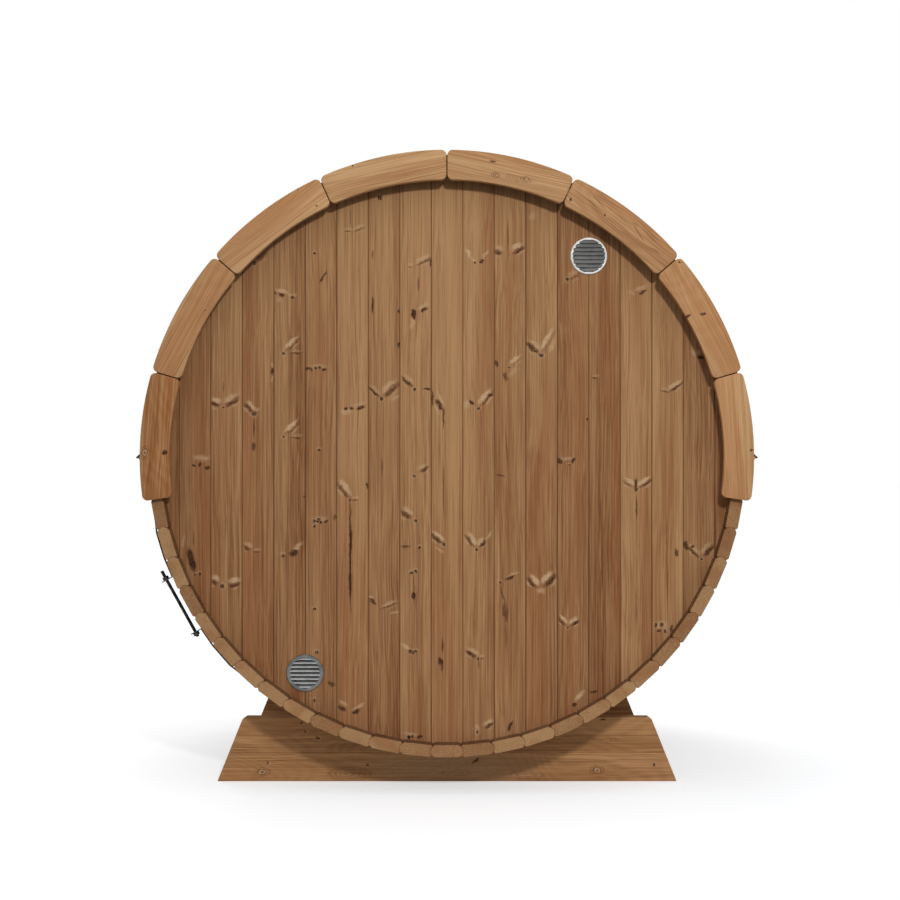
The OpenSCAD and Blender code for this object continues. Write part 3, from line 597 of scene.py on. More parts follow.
# Rear wall. Knots by board, the middle board being 0, in millimetres across from the board's middle
# and up from the barrel's middle
REAR_KNOTS = {
    -8: [
        lens(-3, -23, 8, 5, 125), lens(17, -21, 9, 5, 60), lens(44, -30, 11, 6, 20),
        gleam(25, 2, 42, 15, 0), lens(-11, -343, 46, 13, 104, 1.0), crack(-3, -270, 70, 0.4),
        gleam(-38, -278, 30, 8, 80, 0.4), dot(16, -390), dot(2, -391, 0.6),
    ],
    -7: [
        spike(-10, 174, (161, 14, 46, 10, 1.0, 0.8), (29, 8, 62, 11, 0.85, 0.6), eye=0.8),
        crack(-10, 240, 50, 0.4, 2),
        spike(-13, -431, (155, 20, 42, 11, 0.8, 0.8), (8, 22, 62, 9, 0.85, 0.75), eye=1.3),
        crack(-4, -210, 220, 0.3),
    ],
    -6: [
        spike(-10, 661, (42, 6, 52, 11, 0.6, 0.5)), lens(49, 294, 15, 6, 90), gleam(49, 318, 12, 5, 90),
        gleam(49, 268, 14, 5, 90),
        spike(-13, 151, (132, 6, 50, 8, 0.8, 0.75), (20, 5, 24, 5, 0.1, 0.5), eye=1.4),
        crack(-13, 105, 95, 0.9, 2.5), lens(-13, 42, 17, 7, 90, 0.7),
        spike(-17, -313, (150, 10, 36, 8, 0.65, 0.5), (-5, 4, 26, 4, 0.7, 0.3), eye=0.4),
    ],
    -5: [
        lens(-26, 553, 12, 7, 150), lens(10, 546, 8, 6, 35), nick(-48, 560, 11),
        gleam(-24, 566, 34, 8, 160, 0.75), gleam(10, 552, 22, 9, 0, 0.5),
        gleam(-36, 538, 14, 18, 0, 0.35),
        spike(-21, 354, (43, 12, 78, 6, 0.35, 0.9), (3, 24, 64, 4, 0.7, 0.3), eye=0.9),
        spike(-21, 73, (43, 12, 78, 6, 0.35, 0.9), (-3, 24, 64, 4, 0.7, 0.3), eye=0.9),
        lens(14, -319, 17, 12, 25), gleam(26, -300, 34, 10, 45, 0.7), dot(-21, -327), nick(50, -129, 6),
    ],
    -4: [
        lens(7, 614, 26, 4.5, 58, 0.75), dot(-22, 693, 0.7), dots(303, -33, -18, -5),
        lens(-46, 304, 12, 6, 0), lens(12, 301, 10, 6, 20), gleam(-8, 312, 44, 10, 0, 0.35),
        dot(-6, 29, 0.9), dots(-214, -23, -13, -1), dots(-226, -20), dots(-203, -8),
        lens(17, -211, 11, 6, 20), gleam(0, -206, 34, 16, 0, 0.4), lens(48, -200, 12, 5, 90, 0.5),
        dot(-23, -508), dot(-15, -655), lens(36, -760, 16, 9, 150, 0.6), dot(-23, -816, 0.8),
    ],
    -3: [
        spike(0, 766, (172, 4, 26, 5, 0.6, 0.4), (20, 5, 46, 5, 0.5, 0.5), eye=0),
        crack(-6, 815, 80, 0.4, 2), lens(-23, 168, 9, 6, 0), lens(-3, 169, 8, 6, 0, 0.85),
        lens(29, 172, 19, 7, 18), gleam(-22, 160, 30, 16, 0, 0.5), gleam(20, 184, 34, 8, 15, 0.4),
        spike(-8, -140, (126, 10, 78, 9, 0.65, 0.85), (0, 5, 32, 4, 0.4, 0.4), eye=0.7),
        crack(-7, -330, 520, 1.0, 3.4), crack(-5, -280, 120, 1.0, 4.5), crack(-7, -420, 170, 1.0, 5),
        nick(50, -90, 15), lens(-35, -843, 17, 8, 145, 0.8), lens(12, -856, 17, 7, 20),
        gleam(20, -838, 38, 9, 25), gleam(-30, -826, 26, 7, 145),
    ],
    -2: [
        dot(-13, 882, 1.2), crack(-38, 518, 75, 0.9, 3.5), crack(-38, 690, 40, 0.6, 2.5),
        nick(51, 497, 14), nick(51, 384, 12),
        spike(-10, 201, (135, 8, 58, 6, 1.0, 0.35), (42, 14, 82, 11, 0.7, 0.6)),
        gleam(40, 208, 30, 8, 25, 0.5), crack(-6, -30, 90, 0.4), lens(-37, -484, 16, 7, 125),
        gleam(-42, -468, 16, 6, 125, 0.7), spike(-12, -510, (23, 6, 62, 4, 0.6, 0.5), eye=0.5),
        gleam(36, -520, 26, 6, 10, 0.5),
    ],
    -1: [
        spike(-8, 647, (28, 14, 68, 7, 0.6, 0.55), (172, 2, 20, 5, 0.5, 0.4), eye=0),
        crack(10, 590, 62, 0.5), nick(51, 662, 20), lens(-6, 487, 22, 9, 95, 1.1),
        lens(29, 504, 15, 7, 22), gleam(-10, 460, 34, 12, 80), gleam(24, 514, 34, 9, 25),
        spike(-3, 237, (137, 10, 62, 8, 0.9, 0.45), eye=0.9), lens(38, 235, 15, 4, 0),
        spike(-5, -59, (33, 22, 60, 7, 0.8, 0.45)),
        spike(0, -211, (146, 20, 60, 10, 0.75, 0.65), eye=0.9), lens(-35, -297, 17, 6, 175, 0.75),
        dot(14, -299, 0.9), dots(-384, -13, 2), lens(-6, -464, 16, 8, 92, 1.1),
        crack(-5, -440, 150, 0.5, 2.5), dots(-653, -17, -8, 1), gleam(-32, -636, 26, 10, 150, 0.7),
        dots(-941, -22, -11), lens(15, -941, 10, 6, 20), gleam(-20, -930, 40, 8, 170, 0.5),
    ],
    0: [
        line(-12, -115, 250, 91, 0.6), line(-11, -60, 120, 90, 0.4), lens(-49, 205, 28, 4, 92),
        lens(-25, 182, 24, 8, 122), lens(-11, 138, 38, 4, 90, 0.8), gleam(-22, 204, 36, 8, 115),
        gleam(-34, 168, 30, 7, 115, 0.5), spike(-11, -290, (141, 6, 58, 8, 0.9, 0.8)),
        gleam(-24, -308, 26, 7, 150, 0.5), crack(-15, -630, 70, 0.7), lens(-22, -686, 18, 8, 100),
        crack(-16, -700, 60, 0.7),
    ],
    1: [
        lens(10, 669, 10, 6, 35, 1.0), dot(-12, 661, 0.6), gleam(-34, 694, 30, 8, 118, 0.9),
        gleam(24, 690, 24, 7, 48, 0.7), gleam(-16, 668, 20, 7, 150), lens(-22, 188, 14, 7, 130),
        gleam(-38, 184, 22, 16, 90), spike(-1, 169, (49, 12, 78, 8, 0.6, 0.9), eye=0.8),
        lens(40, 212, 14, 5, 50),
        spike(-8, -309, (125, 12, 64, 8, 0.65, 0.8), (45, 16, 46, 7, 1.0, 0.7), eye=0.8),
        gleam(36, -258, 24, 7, 52, 0.7),
        spike(0, -678, (145, 8, 54, 8, 0.9, 0.6), (10, 4, 20, 4, 0.4, 0.4), eye=0.7),
        crack(1, -690, 60, 0.5, 2.5),
        spike(-3, -925, (30, 28, 62, 7, 0.8, 0.7), (120, 6, 26, 5, 0.0, 0.5)),
    ],
    2: [
        spike(-5, 688, (27, 18, 60, 9, 0.9, 0.8), (165, 22, 50, 10, 0.7, 0.5), eye=0.6),
        crack(-8, 750, 130, 0.4), lens(-46, 320, 14, 7, 100, 0.85),
        spike(-3, 308, (38, 8, 56, 6, 0.1, 0.85), eye=0.7), lens(-15, 277, 20, 8, 98, 0.6),
        gleam(10, 290, 34, 16, 40, 0.35), line(-11, 34, 190, 93, 0.6), lens(-33, -58, 20, 4, 160, 0.6),
        lens(0, -402, 19, 7, 20), gleam(10, -390, 30, 7, 22), dot(-34, -417, 0.8),
        crack(-24, -465, 100, 0.6, 2.5, 108), lens(-16, -520, 36, 11, 96, 0.55),
        crack(-14, -600, 110, 0.4), lens(2, -905, 22, 6, 65),
    ],
    3: [
        spike(-1, 350, (140, 10, 64, 10, 0.9, 0.5), (60, 10, 100, 7, 0.15, 0.95), eye=1.3),
        gleam(36, 378, 40, 10, 58, 0.5),
        spike(-4, -450, (131, 20, 68, 9, 0.75, 0.9), (50, 22, 80, 11, 0.95, 0.9), eye=0),
        gleam(-4, -446, 22, 14, 0), gleam(-30, 820, 24, 16, 60, 0.4),
    ],
    4: [
        spike(-19, 604, (25, 8, 46, 8, 0.35, 0.35), eye=1.1), lens(-44, -8, 13, 8, 135),
        lens(2, -6, 12, 6, 65), dot(-13, -22, 0.5), gleam(-20, 0, 36, 10, 0, 0.5), nick(51, 134, 6),
        spike(-17, -573, (38, 12, 48, 7, 1.0, 0.8), (132, 12, 50, 6, 0.6, 0.85), eye=0.7),
        lens(5, -833, 10, 7, 50), gleam(22, -802, 34, 10, 48, 0.8),
    ],
    5: [
        lens(-35, 272, 12, 5, 0, 0.7), gleam(-30, 280, 18, 5, 0, 0.4), lens(-35, -789, 17, 4, 3, 0.8),
        crack(-8, -370, 220, 0.4, 2.5), crack(-7, -690, 90, 0.4),
    ],
    6: [
        lens(24, 563, 17, 6, 30, 0.8), gleam(14, 576, 34, 9, 25),
        gleam(-14, 560, 20, 10, 140, 0.4), lens(0, -90, 26, 6, 90),
        spike(3, -104, (33, 10, 62, 7, 0.75, 0.9), (148, 15, 56, 8, 0.5, 0.7), eye=0.8),
        crack(2, -165, 110, 0.7, 3), crack(0, -500, 170, 0.35, 2.5),
    ],
    7: [
        spike(2, 223, (35, 5, 64, 6, 0.9, 0.75), (160, 5, 26, 5, 0.7, 0.3), eye=0.5),
        crack(-2, -330, 420, 0.35, 2.5), lens(30, -319, 14, 6, 95, 0.75), dots(-560, -38, -20),
        dots(-580, -28, -8), lens(14, -576, 16, 7, 92, 0.8), gleam(-20, -562, 34, 20, 0, 0.45),
    ],
    8: [
        lens(7, 342, 14, 7, 0), gleam(-10, 360, 26, 16, 0, 0.5), lens(-44, -296, 18, 9, 100),
        lens(-22, -298, 8, 6, 45),
        spike(7, -339, (138, 10, 66, 6, 0.9, 0.45), (48, 12, 62, 9, 0.9, 0.5), eye=0.6),
    ],
}
# Tones by board. Those of the outer boards, -9, -8, 8 and 9, are partly painted shade at the wall's sides.
REAR_TONES = {
    -9: -0.3, -8: -0.1, -7: 0.2, -6: 0.1, -5: -0.15, -4: 0.05, -3: 0.5, -2: 0.0, -1: 0.55, 0: 0.8,
    1: 0.45, 2: 0.45, 3: 0.2, 4: 0.0, 5: -0.25, 6: 0.6, 7: 0.7, 8: 0.0, 9: -0.2,
}
REAR_SEED_STEP = 0.37
MIDDLE_BOARD = 10


def upright(x, y):
    """To the grain of an upright board with its middle at x: across, up from the axis, and inwards."""
    return Matrix(((1, 0, 0, -x), (0, 0, 1, -AXIS_Z), (0, 1, 0, -y), (0, 0, 0, 1)))


def shade_joints(bm, verts):
    """Darkens a board's bevels and what lies behind them with painted shade, one side of each joint the
    more: the side turned away from the key lamp.
    """
    painted_shade = bm.faces.layers.float["painted_shade"]
    left, right = rng.uniform(0.25, 0.6), rng.uniform(0.0, 0.2)
    for face in faces_of(verts):
        if abs(face.normal.x) > 0.5:
            face[painted_shade] = right if face.normal.x > 0 else left


def rear_wall():
    bm = solid_of("rear_wall")
    materials = []
    for island in sorted(islands(bm), key=lambda verts: box_of(verts)[0].x):
        low, high = box_of(island)
        number = round(((low.x + high.x - TONGUE_L) / 2) / BOARD_W)
        seed = REAR_SEED_STEP * (number + MIDDLE_BOARD) % 1
        grained(bm, island, upright(number * BOARD_W, low.y), seed, REAR_TONES[number])
        shade_joints(bm, island)
        for face in faces_of(island):
            face.material_index = len(materials)
        marks = all_of(REAR_KNOTS.get(number, ()))
        name = f"rear_board_{number + MIDDLE_BOARD}"
        # The rear boards grow darker towards the bottom: painted shade
        materials.append(wood(name, WALL_LIGHT, WALL_DEEP, marks, height_shade=0.2))
    piece("rear_wall_boards", bm, ["rear_wall"], materials)


# Front wall and door, which the photograph doesn't show
# The front boards too grow darker towards the bottom, by painted shade
front_woods = [
    wood(f"front_board_{k}", WALL_LIGHT, WALL_DEEP, all_of(chance_knots(8, 53, 1600)), height_shade=0.1)
    for k in range(5)
]


def boards(node, name):
    """Upright boards, and any ledges across them."""
    bm = solid_of(node)
    for island in sorted(islands(bm), key=lambda verts: tuple(box_of(verts)[0])):
        low, high = box_of(island)
        if high.x - low.x > 2 * BOARD_W and high.x - low.x > high.z - low.z:
            middle = Matrix.Translation(-(low + high) / 2)
            to_grain = Matrix(GRAIN_ALONG[0]).to_4x4() @ middle
            grained(bm, island, to_grain, rng.random(), rng.uniform(-0.4, 0.1))
        else:
            along = Matrix.Translation((0, rng.uniform(-0.6, 0.6), 0))
            to_grain = along @ upright((low.x + high.x) / 2, low.y)
            grained(bm, island, to_grain, rng.random(), rng.uniform(-0.4, 0.4))
            shade_joints(bm, island)
        which = rng.randrange(len(front_woods))
        for face in faces_of(island):
            face.material_index = which
    piece(name, bm, [node], front_woods)


# Staves
stave_woods = [
    wood(f"stave_{k}", STAVE_LIGHT, STAVE_DEEP, all_of(chance_knots(4, 50, 900)), figure=0.1)
    for k in range(4)
]
STAVE_TONES = (-0.5, -0.2, 0.2, 0.45)

# How far the sides of the notches between staves face outwards, and where staves stand past the end walls,
# for painted shade in the notches and on the staves' inner faces in the recesses
NOTCH_FACING = (0.3, 0.93)
NOTCH_SHADE = 0.75
RECESS_Y = 0.845
RECESS_FACING = 0.5
RECESS_SHADE = 0.7


def staves(node):
    bm = solid_of(node)
    for island in sorted(islands(bm), key=lambda verts: tuple(box_of(verts)[0])):
        middle = sum((v.co for v in island), Vector()) / len(island)
        index = round((math.atan2(middle.z - AXIS_Z, middle.x) + math.pi / 2) / STAVE_STEP)
        angle = index * STAVE_STEP - math.pi / 2
        turn = Matrix.Rotation(angle - math.pi / 2, 4, "Y")
        place = turn @ Matrix.Translation((0, 0, -AXIS_Z))
        to_grain = Matrix.Translation((0, rng.uniform(-0.3, 0.3), -BARREL_R)) @ place
        tone = rng.choice(STAVE_TONES)
        grained(bm, island, to_grain, rng.random(), tone)
        which = rng.randrange(len(stave_woods))
        for face in faces_of(island):
            face.material_index = which
    # Painted shade in the notches between staves, and on the staves' inner faces in the recesses before
    # the end walls
    painted_shade = bm.faces.layers.float["painted_shade"]
    for face in bm.faces:
        middle = face.calc_center_median()
        inwards = Vector((-middle.x, 0, AXIS_Z - middle.z)).normalized()
        facing = face.normal.dot(inwards)
        if abs(middle.y) > RECESS_Y and facing > RECESS_FACING:
            face[painted_shade] = RECESS_SHADE
        elif -NOTCH_FACING[1] < facing < -NOTCH_FACING[0]:
            face[painted_shade] = NOTCH_SHADE
    rims = [e for e in bm.edges if all(abs(abs(v.co.y) - END_Y) < WELD for v in e.verts)]
    ease(bm, rims, STAVE_EASE, 1)
    piece(node + "_wood", bm, [node], stave_woods)


# Fascia. Knots by board, across from its middle line and along it
FASCIA_KNOTS = {
    1: [
        ring_eye(31, -53, 0.9), lens(-36, -50, 11, 7, 0), line(-8, 20, 150, 86, 0.4),
        line(6, 40, 170, 84, 0.3), line(-20, -110, 90, 95, 0.35), line(14, -120, 110, 96, 0.3),
    ],
    2: [dot(-33, 46, 0.5)],
    3: [dot(37, 139, 0.5), dot(-44, 156, 0.5)],
    4: [dot(39, -99, 0.5)],
    5: [crack(21, -60, 27), ring_eye(-22, -41, 0.6), ring_eye(-17, 61, 0.7), whorl(-18, 24, 30, 9)],
    6: [
        dot(-40, -186, 0.8), dot(-13, -62, 0.8), line(23, 37, 42, 85), line(20, 97, 92, 96),
        line(6, 62, 98, 110), line(-8, 139, 78, 87), line(10, -108, 102, 100), line(-8, -132, 150, 92),
        line(31, -72, 165, 83, 0.35), line(31, 84, 165, 97, 0.35), line(-24, 40, 240, 88, 0.3),
    ],
    7: [dot(15, -200, 0.6), lens(-44, -29, 11, 6, 0), lens(3, -11, 12, 6, 5, 0.85)],
    8: [dot(38, 46, 0.7)],
}
FASCIA_TONES = {1: -0.97, 2: -0.32, 3: 0.45, 4: 0.15, 5: 0.05, 6: -0.22, 7: 0.05, 8: -0.05}
FASCIA_FIGURE = {1: 0.15, 2: 0.1, 6: 0.15, 7: 0.15}
FASCIA_SEED_STEP = 0.29
fascia_plain = wood("fascia_plain", FASCIA_LIGHT, FASCIA_DEEP)


def fascia(end, k, seed, tone, material):
    node = f"{end}_fascia_{k}"
    bm = solid_of(node)
    angle = math.pi / 2 + ((FASCIA_COUNT + 1) / 2 - k) * FASCIA_ANGLE
    turn = Matrix.Rotation(angle - math.pi / 2, 4, "Y")
    place = turn @ Matrix.Translation((0, 0, -AXIS_Z - FASCIA_RISE))
    to_grain = Matrix(((0, 0, 1, -FASCIA_MID_R), (1, 0, 0, 0), (0, 1, 0, 0), (0, 0, 0, 1))) @ place
    ease(bm, sharp_edges(bm, 60), FASCIA_EASE, 2)
    grained(bm, bm.verts, to_grain, seed, tone)
    piece(node + "_board", bm, [node], [material])


# Cradles, each glued up from three planks. Marks by height and by place across the barrel
CRADLE_KNOTS = [
    ring_eye(32, -646, 1.0), dot(64, -625, 0.8), dot(205, -505, 0.7), dot(174, -496, 0.8),
    dot(151, -452, 0.8), dot(58, -276, 0.8), whorl(26, -340, 72, 22, 4), ring_eye(39, 524, 1.0),
    whorl(22, 278, 60, 12, 2), whorl(144, 553, 40, 9, 2), dot(58, 723, 0.7), whorl(29, 30, 48, 10, 2),
    # The long pale oval below, 840 mm along and low in the middle, is painted light that lifts the shade
    # under the barrel
    crack(215, 545, 30), lens(72, 99, 15, 5, 52), gleam(45, 0, 420, 75, 90, 0.4),
]
PLANK_SEED_STEP = 7
cradle_plain = wood("cradle_plain", CRADLE_LIGHT, CRADLE_DEEP, contrast=1.25, figure=0.2)
cradle_marked = wood("cradle_marked", CRADLE_LIGHT, CRADLE_DEEP, all_of(CRADLE_KNOTS), 1.25, 0.2)


def cradle(end, material, seed, tone):
    node = end + "_cradle"
    levels = (0.0, *CRADLE_GLUE_LINES, CRADLE_H)
    joined = None
    for low, high in zip(levels, levels[1:]):
        bm = solid_of(node)
        for level, upwards in ((low, -1), (high, 1)):
            if level in (levels[0], levels[-1]):
                continue
            geometry = [*bm.verts, *bm.edges, *bm.faces]
            cut = bmesh.ops.bisect_plane(
                bm, geom=geometry, plane_co=(0, 0, level), plane_no=(0, 0, upwards), clear_outer=True
            )
            rim = [e for e in cut["geom_cut"] if isinstance(e, bmesh.types.BMEdge)]
            bmesh.ops.holes_fill(bm, edges=rim, sides=0)
        ease(bm, sharp_edges(bm, 40), PLANK_EASE, 1)
        to_grain = Matrix(GRAIN_ALONG[0]).to_4x4()
        grained(bm, bm.verts, to_grain, (seed + PLANK_SEED_STEP * low) % 1, tone)
        mesh = bpy.data.meshes.new("plank")
        bm.to_mesh(mesh)
        bm.free()
        if joined is None:
            joined = bmesh.new()
        joined.from_mesh(mesh)
        bpy.data.meshes.remove(mesh)
    piece(node + "_planks", joined, [node], [material])


def plain(node, name, material, width=0.0, degrees=40):
    """A carried-over shape with eased edges, each solid's grain running along its longest side."""
    bm = solid_of(node)
    if width:
        ease(bm, sharp_edges(bm, degrees), width, 2)
    for island in sorted(islands(bm), key=lambda verts: tuple(box_of(verts)[0])):
        low, high = box_of(island)
        longest = max(range(3), key=lambda k: high[k] - low[k])
        shift = Matrix.Translation(-(low + high) / 2)
        to_grain = Matrix(GRAIN_ALONG[longest]).to_4x4() @ shift
        grained(bm, island, to_grain, rng.random(), rng.uniform(-0.2, 0.2))
    piece(name, bm, [node], [material])


def ring_of(bm, points):
    return [bm.verts.new(point) for point in points]


def skin(bm, rings, closed=False):
    """Joins rings of vertices into a tube, with a face over each end unless the tube closes on itself."""
    faces = []
    pairs = list(zip(rings, rings[1:]))
    if closed:
        pairs.append((rings[-1], rings[0]))
    for first, second in pairs:
        for k, vert in enumerate(first):
            after = (k + 1) % len(first)
            faces.append(bm.faces.new((vert, first[after], second[after], second[k])))
    if not closed:
        faces += [bm.faces.new(rings[0]), bm.faces.new(rings[-1])]
    return faces


# Roofing: courses of tabs laid up each side, and caps along the ridge
TAB_W = 0.300
TAB_SLIT = 0.007
TAB_SHIFT = 0.02
TAB_UNEVEN = 0.0006
TAB_DROOP = 0.0015
SLIT_TONE = -0.5
DRIP_RISE = 0.02
CAP_COUNT = 12
CAP_GAP = 0.0005
CAP_LAP = 0.6 * COURSE_STEP
BEND_STEPS = 4
roof_felt = felt("roof_felt", srgb(14, 14, 15), srgb(58, 58, 60))


def roof_strip(bm, low, high, inner, outer_low, outer_high, y_low, y_high, tone):
    """A bent plate between two angles up from the right. Each outer radius is given at both ends."""
    rings = []
    for step in range(BEND_STEPS + 1):
        share = step / BEND_STEPS
        angle = low + (high - low) * share
        c, z = math.cos(angle), math.sin(angle)
        outers = [a + (b - a) * share for a, b in zip(outer_low, outer_high)]
        points = ((inner, y_low), (outers[0], y_low), (outers[1], y_high), (inner, y_high))
        rings.append(ring_of(bm, [(r * c, y, AXIS_Z + r * z) for r, y in points]))
    for face in skin(bm, rings):
        face[bm.faces.layers.float["tone"]] = tone


def roofing():
    bm = solid_of("roofing")
    drip_top = AXIS_Z + BATTEN_Z + DRIP_RISE
    lowest = [island for island in islands(bm) if box_of(island)[0].z < drip_top]
    kept = {vert for island in lowest for vert in island}
    bmesh.ops.delete(bm, geom=[v for v in bm.verts if v not in kept], context="VERTS")
    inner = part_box("roofing")[1][2] - AXIS_Z - ROOF_T
    eave = math.asin((BATTEN_Z + BATTEN_OUT * math.tan(DRIP_SLOPE) + MM) / inner)
    course = (math.pi / 2 - eave) / (COURSE_COUNT + 0.5)
    y_end = END_Y - FIT
    bed = inner + ROOF_T - COURSE_STEP
    under = (bed - MM, bed - MM)
    for side in (0, 1):
        for k in range(1, COURSE_COUNT):
            low, high = eave + k * course, eave + (k + 1) * course
            if side:
                low, high = math.pi - low, math.pi - high
            roof_strip(bm, low, high, inner, under, under, -y_end, y_end, SLIT_TONE)
            edges = [-y_end]
            first = TAB_W * (0.5 if k % 2 else 1.0) + rng.uniform(-TAB_SHIFT, TAB_SHIFT)
            while first < 2 * y_end - TAB_W / 4:
                edges.append(first - y_end)
                first += TAB_W
            edges.append(y_end)
            for start, stop in zip(edges, edges[1:]):
                start += TAB_SLIT / 2 if start > -y_end else 0
                stop -= TAB_SLIT / 2 if stop < y_end else 0
                top = inner + ROOF_T - rng.uniform(0, TAB_UNEVEN)
                droop = rng.uniform(0, TAB_DROOP) / inner * (-1 if side else 1)
                tone = rng.uniform(-0.4, 0.4)
                outers = ((top, top), (bed, bed))
                roof_strip(bm, low + droop, high, bed - 2 * MM, *outers, start, stop, tone)
    low, high = math.pi / 2 - course / 2, math.pi / 2 + course / 2
    for k in range(CAP_COUNT):
        start = -y_end + 2 * y_end * k / CAP_COUNT
        stop = -y_end + 2 * y_end * (k + 1) / CAP_COUNT - CAP_GAP
        outer = (inner + ROOF_T, inner + ROOF_T - CAP_LAP)
        roof_strip(bm, low, high, inner, outer, outer, start, stop, rng.uniform(-0.3, 0.4))
    piece("roofing_courses", bm, ["roofing"], [roof_felt], 30)


# Tensioners: a threaded rod, with a washer and a hexagon nut outside each lug
THREAD_PITCH = 0.0015
THREAD_DEPTH = 0.0008
THREAD_ROWS = 4
ROD_SIDES = 16
NUT_BEVEL = 0.0012
NUT_ROUNDING = 0.97
WASHER_EDGE = 0.0003
WASHER_GRIP = 0.0002
WASHER_SIDES = 32


def about(place, along, radius, angle):
    return place @ Vector((along, radius * math.cos(angle), radius * math.sin(angle)))


def lathe(bm, place, profile, sides):
    """Turns a closed profile of distances along and radii about the rod's axis."""
    rings = []
    for along, radius in profile:
        points = [about(place, along, radius, 2 * math.pi * k / sides) for k in range(sides)]
        rings.append(ring_of(bm, points))
    skin(bm, rings, True)


def threaded_rod(bm, place, start, stop):
    rows = round((stop - start) / THREAD_PITCH * THREAD_ROWS)
    rings = []
    for row in range(rows + 1):
        along = start + (stop - start) * row / rows
        points = []
        for k in range(ROD_SIDES):
            turn = k / ROD_SIDES
            phase = (row / THREAD_ROWS - turn) % 1.0
            radius = ROD_D / 2 - THREAD_DEPTH * abs(2 * phase - 1)
            points.append(about(place, along, radius, 2 * math.pi * turn))
        rings.append(ring_of(bm, points))
    skin(bm, rings)


def hex_nut(bm, place, start, stop):
    corner, flat = NUT_D / 2, NUT_D / 2 * math.cos(math.pi / 6)
    bevel = NUT_BEVEL if stop > start else -NUT_BEVEL
    rings = []
    for along, rounded in ((start, True), (start + bevel, False), (stop - bevel, False), (stop, True)):
        points = []
        for k in range(12):
            radius = flat * NUT_ROUNDING if rounded else (flat if k % 2 else corner)
            points.append(about(place, along, radius, math.pi * k / 6))
        rings.append(ring_of(bm, points))
    skin(bm, rings)


def tensioner(end, material):
    bm = bmesh.new()
    add_layers(bm)
    run = math.pi / 2 + TENSIONER_ANGLE
    away = Vector((-math.sin(run), 0, math.cos(run)))
    along = Vector((math.cos(run), 0, math.sin(run)))
    rod_r = math.sqrt(BARREL_R ** 2 - LUG_SPAN ** 2 / 4) + LUG_LIFT + ROD_HEIGHT
    facing = -1 if end == "rear" else 1
    middle = Vector((0, facing * (END_Y - BAND_INSET), AXIS_Z)) + away * rod_r
    across = along.cross(away)
    place = Matrix((along, away, across)).transposed().to_4x4()
    place.translation = middle
    nut_x = LUG_SPAN / 2 + LUG_T + FIT
    rod_end = nut_x + WASHER_T + NUT_T
    threaded_rod(bm, place, -rod_end - LOWER_ROD_TAIL, rod_end + UPPER_ROD_TAIL)
    for side in (-1, 1):
        inner, outer, edge = ROD_D / 2 - WASHER_GRIP, WASHER_D / 2, WASHER_EDGE
        face, back = side * nut_x, side * (nut_x + WASHER_T)
        profile = (
            (face, inner), (face, outer - edge), (face + side * edge, outer),
            (back - side * edge, outer), (back, outer - edge), (back, inner),
        )
        lathe(bm, place, profile, WASHER_SIDES)
        hex_nut(bm, place, side * (nut_x + WASHER_T), side * rod_end)
    piece(end + "_rod", bm, [end + "_tensioner"], [material], 25)


# Vent blades, with a fly screen of woven wire in the tube behind them
SCREEN_R = 0.0514
SCREEN_SET_BACK = 0.002
WIRE_D = 0.0005
WIRE_STEP = 0.0018


def wire(bm, low, high):
    rings = []
    for x in (low[0], high[0]):
        points = ((low[1], low[2]), (high[1], low[2]), (high[1], high[2]), (low[1], high[2]))
        rings.append(ring_of(bm, [(x, y, z) for y, z in points]))
    skin(bm, rings)


def vent_blades(node, name, material, screen):
    bm = solid_of(node)
    low, high = box_of(bm.verts)
    x, z = (low.x + high.x) / 2, (low.z + high.z) / 2
    y = high.y + SCREEN_SET_BACK
    half = WIRE_D / 2
    count = int(SCREEN_R / WIRE_STEP)
    blades = set(bm.faces)
    for k in range(-count, count + 1):
        aside = k * WIRE_STEP
        reach = math.sqrt(SCREEN_R ** 2 - aside ** 2)
        wire(bm, (x - reach, y - half, z + aside - half), (x + reach, y + half, z + aside + half))
        wire(bm, (x + aside - half, y + half, z - reach), (x + aside + half, y + 3 * half, z + reach))
    for face in bm.faces:
        face.material_index = 0 if face in blades else 1
    piece(name, bm, [node], [material, screen])


rear_wall()
for wall_node in ("front_wall_left", "front_wall_right", "front_wall_above_door", "front_wall_below_door"):
    boards(wall_node, wall_node + "_boards")
SECTORS = (
    "floor", "lower_right", "right_side", "upper_right", "roof", "upper_left", "left_side", "lower_left",
)
for sector in SECTORS:
    staves("staves_" + sector)
for number in range(1, FASCIA_COUNT + 1):
    marks = all_of(FASCIA_KNOTS[number])
    figure = FASCIA_FIGURE.get(number, 0.0)
    fascia_wood = wood(f"fascia_{number}", FASCIA_LIGHT, FASCIA_DEEP, marks, figure=figure)
    fascia("rear", number, FASCIA_SEED_STEP * number % 1, FASCIA_TONES[number], fascia_wood)
    fascia("front", number, rng.random(), rng.uniform(-0.2, 0.2), fascia_plain)
cradle("rear", cradle_marked, 0.15, 0.1)
# The far cradle's tone of -0.6 is painted shade, for the barrel's shadow over it
cradle("front", cradle_plain, 0.55, -0.6)
roofing()
plain("eave_battens", "eave_batten_strips", fascia_plain, BATTEN_EASE)

door_wood = wood("door_wood", WALL_LIGHT, WALL_DEEP)
plain("door_frame", "door_frame_posts", door_wood, POST_EASE)
boards("door_leaf", "door_leaf_boards")
plain("door_handle", "door_pull", door_wood)

black = coated("black_steel", srgb(22, 22, 24), srgb(74, 74, 78), 0.45, 0.7)
strap = coated("strap_steel", srgb(58, 60, 63), srgb(80, 82, 85), 0.36, 0.8)
white = coated("white_vent", srgb(206, 206, 204), srgb(240, 240, 238), 0.4)
dark_louvre = coated("dark_louvre", srgb(92, 93, 91), srgb(114, 115, 113), 0.45)
grey = coated("grey_vent", srgb(90, 92, 91), srgb(118, 120, 119), 0.42, 0.2)
